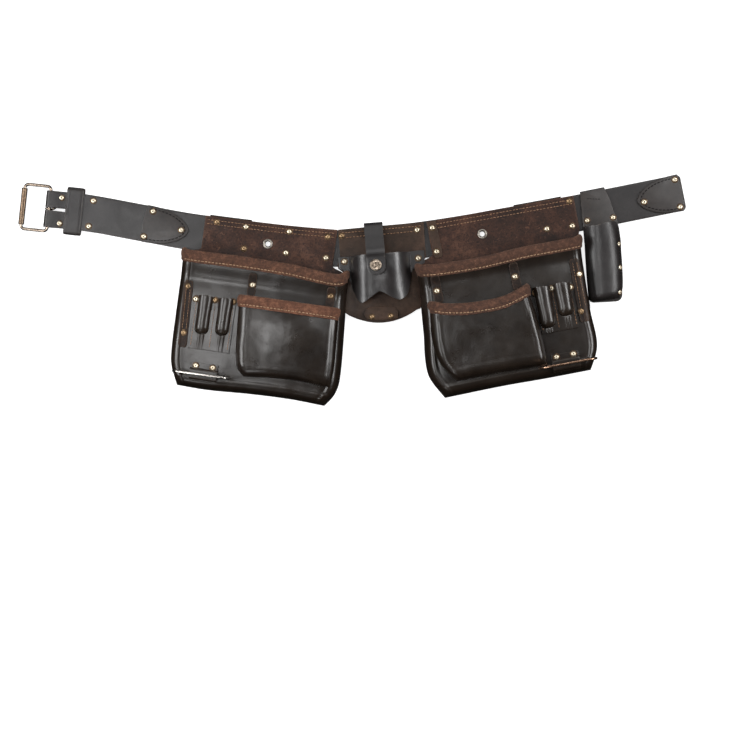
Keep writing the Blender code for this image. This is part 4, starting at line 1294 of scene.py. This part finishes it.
def build_holster(rivets, thread):
    top_run = [(x, 28.6 + 0.012 * (x + 50.6)) for x in steps(-50.6, 68.5, 24)]
    right_run = [
        (68.0, -20.0), (60.0, -26.2), (53.2, -32.5), (55.2, -48.0), (56.5, -62.0), (57.2, -84.0),
        (55.0, -89.6)
    ]
    low_run = [(x, -105.0 + 0.0062 * (x - 2.0) ** 2) for x in steps(50.0, -45.0, 30)]
    left_run = [
        (-50.2, -87.0), (-47.6, -66.0), (-44.6, -50.0), (-42.2, -40.0), (-43.2, -35.0),
        (-54.6, -PATCH_HALF)
    ]
    left_run += [(-55.5, -20.0), (-50.6, -12.0)]
    outline = top_run + right_run + low_run + left_run
    # Back panel in the darker brown: painted shade for the tools' shadow.
    made = flat("holster_back_leather", outline, Z_PANEL, PANEL_THICK, DARK_AND_SHADE_SIDES, CENTRE)
    owned(made, "belt", ("holster_panel",))

    columns = steps(-53.0, 66.0, 110)
    rows = []
    for t in steps(0.0, 1.0, 40):
        row = []
        for x in columns:
            y = blend(holster_top(x), HOLSTER_EDGE(x), t)
            wave = 0.7 * rough(x, y, 34.0, 5.0) * smooth_step(-40.0, -28.0, x) * (
                1.0 - smooth_step(36.0, 48.0, x)
            )
            row.append((x, y, Z_OVERLAY + holster_swell(x, y) + wave))
        rows.append(row)
    front = sheet("holster_front_leather", rows, PANEL_THICK, HOLSTER_SIDES, CENTRE, 1.0, 0.7)
    owned(front, "belt", ("holster_front",))
    face = Z_OVERLAY + PANEL_THICK
    for x, y in ((-45.2, -16.6), (57.0, -19.9)):
        add_rivet(rivets, placed(CENTRE, (x, y, face)))

    bar = [
        (-15.0, -82.0), (14.0, -83.5), (20.0, -86.5), (24.0, -91.5), (22.5, -100.5), (0.0, -101.6),
        (-20.0, -98.5)
    ]
    bar += [(-24.0, -92.0), (-20.5, -85.5)]
    # The bar is in the darker brown as well: painted shade for the tools' shadow.
    made = flat("holster_bar_leather", bar, Z_OVERLAY, LINING, DARK_AND_SHADE_SIDES, CENTRE, 0.6)
    owned(made, "belt", ("holster_bar",))
    for x, y in ((-13.2, -95.8), (13.0, -96.8)):
        add_rivet(rivets, placed(CENTRE, (x, y, Z_OVERLAY + 2.2)), size=0.9, aged=True)
    line = [
        (placed(CENTRE, (x, 23.4 + 0.012 * (x + 50.6), Z_FRONT + 0.1)), (0, 0, 1))
        for x in steps(-46, 64, 20)
    ]
    thread.run(line)
    line = [
        (placed(CENTRE, (x, 16.6 + 0.012 * (x + 50.6), Z_FRONT + 0.1)), (0, 0, 1))
        for x in steps(-40, 52, 20)
    ]
    thread.run(line)


FLAP_X = -1.5
FLAP_HALF = 13.0
SNAP = (-2.5, -26.4)
FLAP_LINE = (
    (6.0, 3.75), (14.0, 3.75), (22.0, 3.75), (27.5, 3.75), (30.9, 4.0), (32.8, 5.6), (33.6, 8.5), (
        32.9, 12.2
    ),
    (30.4, 14.9), (25.0, 18.7), (16.0, 24.8), (8.0, 30.4), (0.0, 36.0), (-7.0, 40.9), (-13.0, 43.8), (
        -18.5, FLAP_LEVEL
    ),
    (-28.0, FLAP_LEVEL),
)


def build_flap():
    """One strip: sewn down under the belt, then up over its top edge to the snap."""
    spots = [Vector((0.0, y, z)) for y, z in FLAP_LINE]
    line = []
    for i in range(len(spots) - 1):
        before = spots[max(i - 1, 0)]
        after = spots[min(i + 2, len(spots) - 1)]
        a, b = spots[i], spots[i + 1]
        for u in steps(0.0, 1.0, 5)[:-1]:
            line.append(cubic(a, (b - before) / 2, b, (after - a) / 2, u))
    line.append(spots[-1])
    rows = [[(FLAP_X + FLAP_HALF * k, p.y, p.z) for k in steps(-1.0, 1.0, 14)] for p in line]
    last = rows[-1][0]
    for angle in steps(12.0, 84.0, 9):
        y = last[1] - 11.4 * math.sin(math.radians(angle))
        half = FLAP_HALF * math.cos(math.radians(angle)) ** 0.85
        rows.append([(FLAP_X + half * k, y, last[2]) for k in steps(-1.0, 1.0, 14)])
    flap = sheet("flap_leather", rows, FLAP_THICK, HOLSTER_SIDES, CENTRE, 0.0, 0.7)
    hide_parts("flap_anchor", "holster_flap")
    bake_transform(flap)

    spot = place(CENTRE, *SNAP)
    low = FLAP_LEVEL + FLAP_THICK / 2
    cap = Mesh()
    profile = [
        (0.0, 1.5), (1.2, 1.45), (1.6, 1.05), (2.2, 1.0), (2.6, 1.5), (3.4, 1.95), (4.6, 2.2), (5.8, 2.1),
        (6.5, 1.75)
    ]
    profile += [
        (6.8, 1.35), (7.2, 1.35), (7.6, 1.55), (8.1, 1.2), (8.3, 0.6), (8.2, 0.0), (7.4, -0.2),
        (0.0, -0.2)
    ]

    def knurled(i, r, z):
        return r, z + (0.14 * math.cos(i * math.pi) if 2.9 < r < 6.6 and z > 1.0 else 0.0)

    cap.turn(profile, 72, Matrix.Translation((*spot, low)), shape=knurled)
    owned(cap.make("snap_button", [CAP_METAL]), "flap", ("snap_cap",))
    socket = Mesh()
    under = [(0.0, -1.5), (2.2, -1.5), (2.6, -1.1), (5.2, -1.0), (5.6, -0.6), (5.6, 0.0), (0.0, 0.0)]
    socket.turn(under, 32, Matrix.Translation((*spot, FLAP_LEVEL - FLAP_THICK / 2)))
    owned(socket.make("snap_socket", [NICKEL]), "flap", ())
    seat = Z_OVERLAY + holster_swell(*SNAP) + PANEL_THICK + 0.1
    stud = Mesh()
    over = [
        (0.0, 2.0), (1.6, 2.05), (2.4, 1.8), (2.8, 1.3), (2.4, 0.75), (4.6, 0.5), (5.2, 0.25),
        (5.2, -0.4), (0.0, -0.4)
    ]
    stud.turn(over, 32, Matrix.Translation((*spot, seat)))
    owned(stud.make("snap_post", [NICKEL]), "belt", ("snap_stud",))


# ---------------------------------------------------------------- sheath

SHEATH_LEFT = through(((-20.0, -28.0), (-45.0, -27.0), (-70.0, -26.5), (-110.0, -24.8), (-131.0, -21.5)))
SHEATH_RIGHT = through(((-18.0, 18.0), (-30.0, 21.0), (-45.0, 23.0), (-110.0, 24.2), (-131.0, 18.0)))


def sheath_top(x):
    return -24.2 + 5.2 * smooth_step(-20.0, 14.0, x)


def sheath_bottom(x):
    return -128.6 + 3.2 * smooth_step(-18.0, 20.0, x)


def sheath_height(x, y):
    low, high = x - SHEATH_LEFT(y), SHEATH_RIGHT(y) - x
    half = (low + high) / 2
    s = min(max((low - half) / half, -1.0), 1.0)
    under = y - sheath_bottom(x)
    arch = max(0.0, 1.0 - abs(s) ** 2.2) ** 0.6
    flat_part = 1.0 - 0.10 * smooth_step(40.0, 100.0, -y)
    lip = 0.9 * hump(high, 4.2, 2.2)
    return Z_OVERLAY + 0.7 + SHEATH_DEPTH * arch * shoulder(under, 11.0) * flat_part - lip + 0.35 * rough(
        x, y, 26.0, 6.0
    ) * arch


def build_sheath():
    rivets = Mesh()
    rows = []
    for down in steps(0.0, 0.84, 42) + steps(0.85, 1.0, 16):
        level = blend(-22.0, -128.5, down)
        left, right = SHEATH_LEFT(level), SHEATH_RIGHT(level)
        row = []
        for s in [math.sin(math.radians(a)) for a in steps(-90, 90, 56)]:
            x = blend(left, right, (s + 1.0) / 2.0)
            y = blend(sheath_top(x), sheath_bottom(x), down)
            row.append((x, y, sheath_height(x, y)))
        rows.append(row)
    front = sheet("sheath_front_leather", rows, POCKET_THICK, BLACK_SIDES, SHEATH, -1.0, 0.6)
    owned(front, "sheath", ("sheath_front",))

    outer = STRAP_HALF + 0.8 + LINING
    start, end = 288.5, 322.0
    low = [place(SHEATH, *p) for p in arc(14.0, -120.0, 9.5, -90, 0, 6)]
    right = [
        place(SHEATH, *p)
        for p in ((24.2, -80.0), (24.0, -46.0), (22.2, -28.0), (19.0, -14.0), (14.6, -2.0), (11.0, 12.0))
    ]
    high = [on_belt(x, outer)[:2] for x in steps(end, start, 10)]
    left = [
        place(SHEATH, *p)
        for p in ((-27.8, -24.0), (-26.6, -46.0), (-26.0, -70.0), (-25.0, -100.0), (-24.0, -122.0))
    ]
    left += [place(SHEATH, *p) for p in arc(-15.5, -121.5, 8.6, 180, 262, 6)]
    back = flat("sheath_back_leather", low + right + high + left, Z_PANEL, PANEL_THICK, BLACK_SIDES, edge=0.7)
    owned(back, "sheath", ("sheath_back",))

    reach = STRAP_HALF + 0.8 + LINING / 2
    top = Z_PANEL + 0.6
    section = channel_section(reach, LINING, top)
    rows = [[on_belt(x, a, z) for a, z in section] for x in steps(start + 2.0, end - 4.0, 14)]
    loop = sheet("sheath_loop_leather", rows, LINING, [DARK_FLESH, BLACK, EDGE], offset=0.0, edge=0.5)
    owned(loop, "sheath", ())

    for x, y in ((19.6, -50.4), (20.0, -83.0), (18.4, -117.0)):
        add_rivet(
            rivets, placed(SHEATH, (x, y, sheath_height(x, y) + 0.1)), turned_out(SHEATH, (0.6, 0, 0.8)),
            0.9
        )
    add_rivet(rivets, placed(SHEATH, (14.2, -12.8, Z_FRONT)), size=0.95)
    add_rivet(rivets, placed(SHEATH, (-22.0, -16.0, Z_FRONT)), size=0.95)
    owned(rivets.make("sheath_rivets", [BRASS, SHADE_RING_METAL, AGED_BRASS]), "sheath", ())
    thread = Thread()
    line = [
        (placed(SHEATH, (x, y, Z_FRONT + 0.1)), (0, 0, 1)) for x,
        y in ((-21.0, 14.6), (-12.0, 13.8), (-3.0, 13.4))
    ]
    thread.run(line, 3.6, 2.6, 0.36)
    line = [(placed(SHEATH, (x - 2.2, y, sheath_height(x - 2.2, y) + 0.1)), (0.1, 0, 1)) for x, y in
            [(SHEATH_RIGHT(level) - 1.6, level) for level in steps(-34.0, -112.0, 30)]]
    thread.run(line, 3.9, 2.8, 0.36)
    thread.make("sheath_stitches", DARK_THREAD, "sheath", "black_leather")


# ---------------------------------------------------------------- the whole belt

def straight(value):
    return lambda level: value


def build_pouches(rivets, tan, brown):
    for side, (pocket, neck, top) in PANELS.items():
        build_panel(side, pocket, neck, top)
        for drop in (5.4, 11.0):
            panel_stitches(brown, pocket, neck, top, drop)
    build_eyelets()
    pockets = (
        ("left", "pouch", "main", LEFT_MAIN), ("right", "pouch", "main", RIGHT_MAIN),
        ("left", "front", "front", LEFT_FRONT), ("right", "front", "front", RIGHT_FRONT),
    )
    for side, shown, kind, pocket in pockets:
        pocket.build(f"{side}_{shown}_leather", f"{side}_{kind}_pocket")
    trims = (
        (SUEDE, -117.0, 100.0), (DARK_SUEDE, -112.0, 104.0),
        (RUST_SUEDE, -32.0, 97.0), (DARK_SUEDE, -106.0, 19.0),
    )
    for (side, _, kind, pocket), (look, start, end) in zip(pockets, trims):
        pocket.binding(f"{side}_{kind}_binding", f"{side}_{kind}_trim", look)
        tan.run(pocket.seam_line(start, end, 10.4, 2.15), 4.8, 3.0, 0.60)

    left_slots = Slots(LEFT_MAIN, ((-82.0, 8.0, -137.0), (-54.0, 8.0, -135.0)), -97.0, -40.0, -86.0, -160.0)
    left_slots.build("left_slots_leather", "left_tool_slots")
    right_slots = Slots(RIGHT_MAIN, ((43.5, 9.6, -148.0), (71.0, 9.6, -136.0)), 32.5, 84.0, -92.0, -156.0)
    right_slots.build("right_slots_leather", "right_tool_slots")
    left_line = through(((-68, -108.4), (-160, -105.4)))
    build_strip("left_strip_leather", "left_side_strip", LEFT_MAIN, left_line, 6.0, -68.0, -160.0)
    build_strip("right_strip_leather", "right_side_strip", RIGHT_MAIN, straight(94.0), 6.5, -62.0, -150.0)
    build_strip("right_strap_left_leather", None, RIGHT_MAIN, straight(-98.0), 6.2, -50.0, -88.0)
    build_strip("right_strap_mid_leather", None, RIGHT_MAIN, straight(11.0), 6.2, -52.0, -90.0)
    build_strip("left_strap_mid_leather", None, LEFT_MAIN, straight(-22.0), 5.8, -46.0, -78.0)
    build_strip("left_strap_end_leather", None, LEFT_MAIN, straight(87.0), 5.8, -50.0, -78.0)
    for offset in (-3.0, 3.2):
        column_stitches(brown, LEFT_MAIN, lambda level: left_line(level) + offset, -80.0, -134.0)
    for offset in (-2.6, 3.4):
        column_stitches(brown, RIGHT_MAIN, straight(94.0 + offset), -68.0, -128.0)

    for pocket, columns, top, low in (
        (LEFT_MAIN, (-94.0, -68.0, -43.0), -97.0, -155.0), (RIGHT_MAIN, (35.0, 57.2, 81.8), -103.0, -151.0),
    ):
        for x in columns:
            column_stitches(brown, pocket, straight(x), top, low, 2.55)

    for pocket, spots, aged in (
        (LEFT_MAIN, ((-95.5, -92.0), (-21.0, -62.0)), False),
        (LEFT_MAIN, ((-69.0, -90.0), (-44.0, -89.0), (87.0, -62.4), (-109.0, -76.0), (-105.6, -140.0)), True),
        (RIGHT_MAIN, ((57.0, -96.8), (82.0, -99.8), (97.5, -84.2), (-98.7, -71.5), (10.4, -71.7)), False),
        (RIGHT_MAIN, ((34.0, -98.5), (91.5, -134.8)), True),
    ):
        for x, y in spots:
            pocket.rivet(rivets, x, y, 2.6, aged)

    for side, pocket, centre, y, look in (
        ("left", LEFT_MAIN, -71.0, -193.5, CHROME), ("right", RIGHT_MAIN, 58.0, -201.5, COPPER),
    ):
        foot = build_ring(side, pocket, centre, y, look)
        build_tab(side, pocket, centre, y, foot, rivets)

    edge = [
        (-94.0, 25.5), (-82.0, 26.3), (-80.9, 10.0), (-80.5, -21.0), (-82.5, -25.0), (-90.5, -26.0),
        (-92.5, -22.0), (-93.4, 10.0)
    ]
    strip = flat("right_edge_leather", edge, Z_OVERLAY - 0.25, 2.0, DARK_AND_SHADE_SIDES, RIGHT)
    owned(strip, "belt", ("right_edge_strip",))
    for y in (17.0, -16.6):
        add_rivet(rivets, placed(RIGHT, (-88.0, y, Z_OVERLAY + 1.75)))


def build_belt_rivets(rivets):
    for x, across in ((-438.5, 17.0), (-438.5, -19.0), (-395.5, 18.0), (-396.5, -18.0)):
        rise = 0.35 if x < KEEPER_X else 0.0
        add_rivet(rivets, on_belt(x, across, Z_STRAP + STRAP_THICK + rise))
        add_rivet(rivets, on_belt(x, across, Z_MID - 0.1), (0, 0, -1))
    face = Z_FRONT
    for where, spots in (
        (LEFT, ((-43.5, 17.5, 0), (-42.0, -12.7, 1), (17.0, 19.4, 0), (16.5, -10.6, 0))),
        (LEFT, ((72.5, -9.7, 0), (71.0, 19.6, 1), (-84.4, 18.8, 1))),
        (CENTRE, ((-46.5, 19.7, 1), (58.7, 19.7, 0))),
        (RIGHT, ((106.0, 19.0, 1), (104.0, -15.7, 0), (68.3, -13.4, 0))),
    ):
        for x, y, aged in spots:
            add_rivet(rivets, placed(where, (x, y, face)), aged=aged)


def main():
    build_studio()
    rivets = Mesh()
    tan, brown, dark = Thread(), Thread(), Thread()
    build_strap()
    build_tongue()
    build_patches(dark, rivets)
    build_keeper()
    build_buckle()
    build_rear(brown)
    build_pouches(rivets, tan, brown)
    build_holster(rivets, brown)
    build_flap()
    build_sheath()
    build_belt_rivets(rivets)
    caps = rivets.make("belt_rivets", [BRASS, SHADE_RING_METAL, AGED_BRASS])
    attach(caps, "belt")
    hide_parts(*[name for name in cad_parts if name.startswith("rivet_")])
    tan.make("tan_stitches", THREAD, "belt", "suede_trim")
    brown.make("brown_stitches", BROWN_THREAD, "belt", "brown_leather")
    dark.make("dark_stitches", DARK_THREAD, "belt", "black_leather")


main()
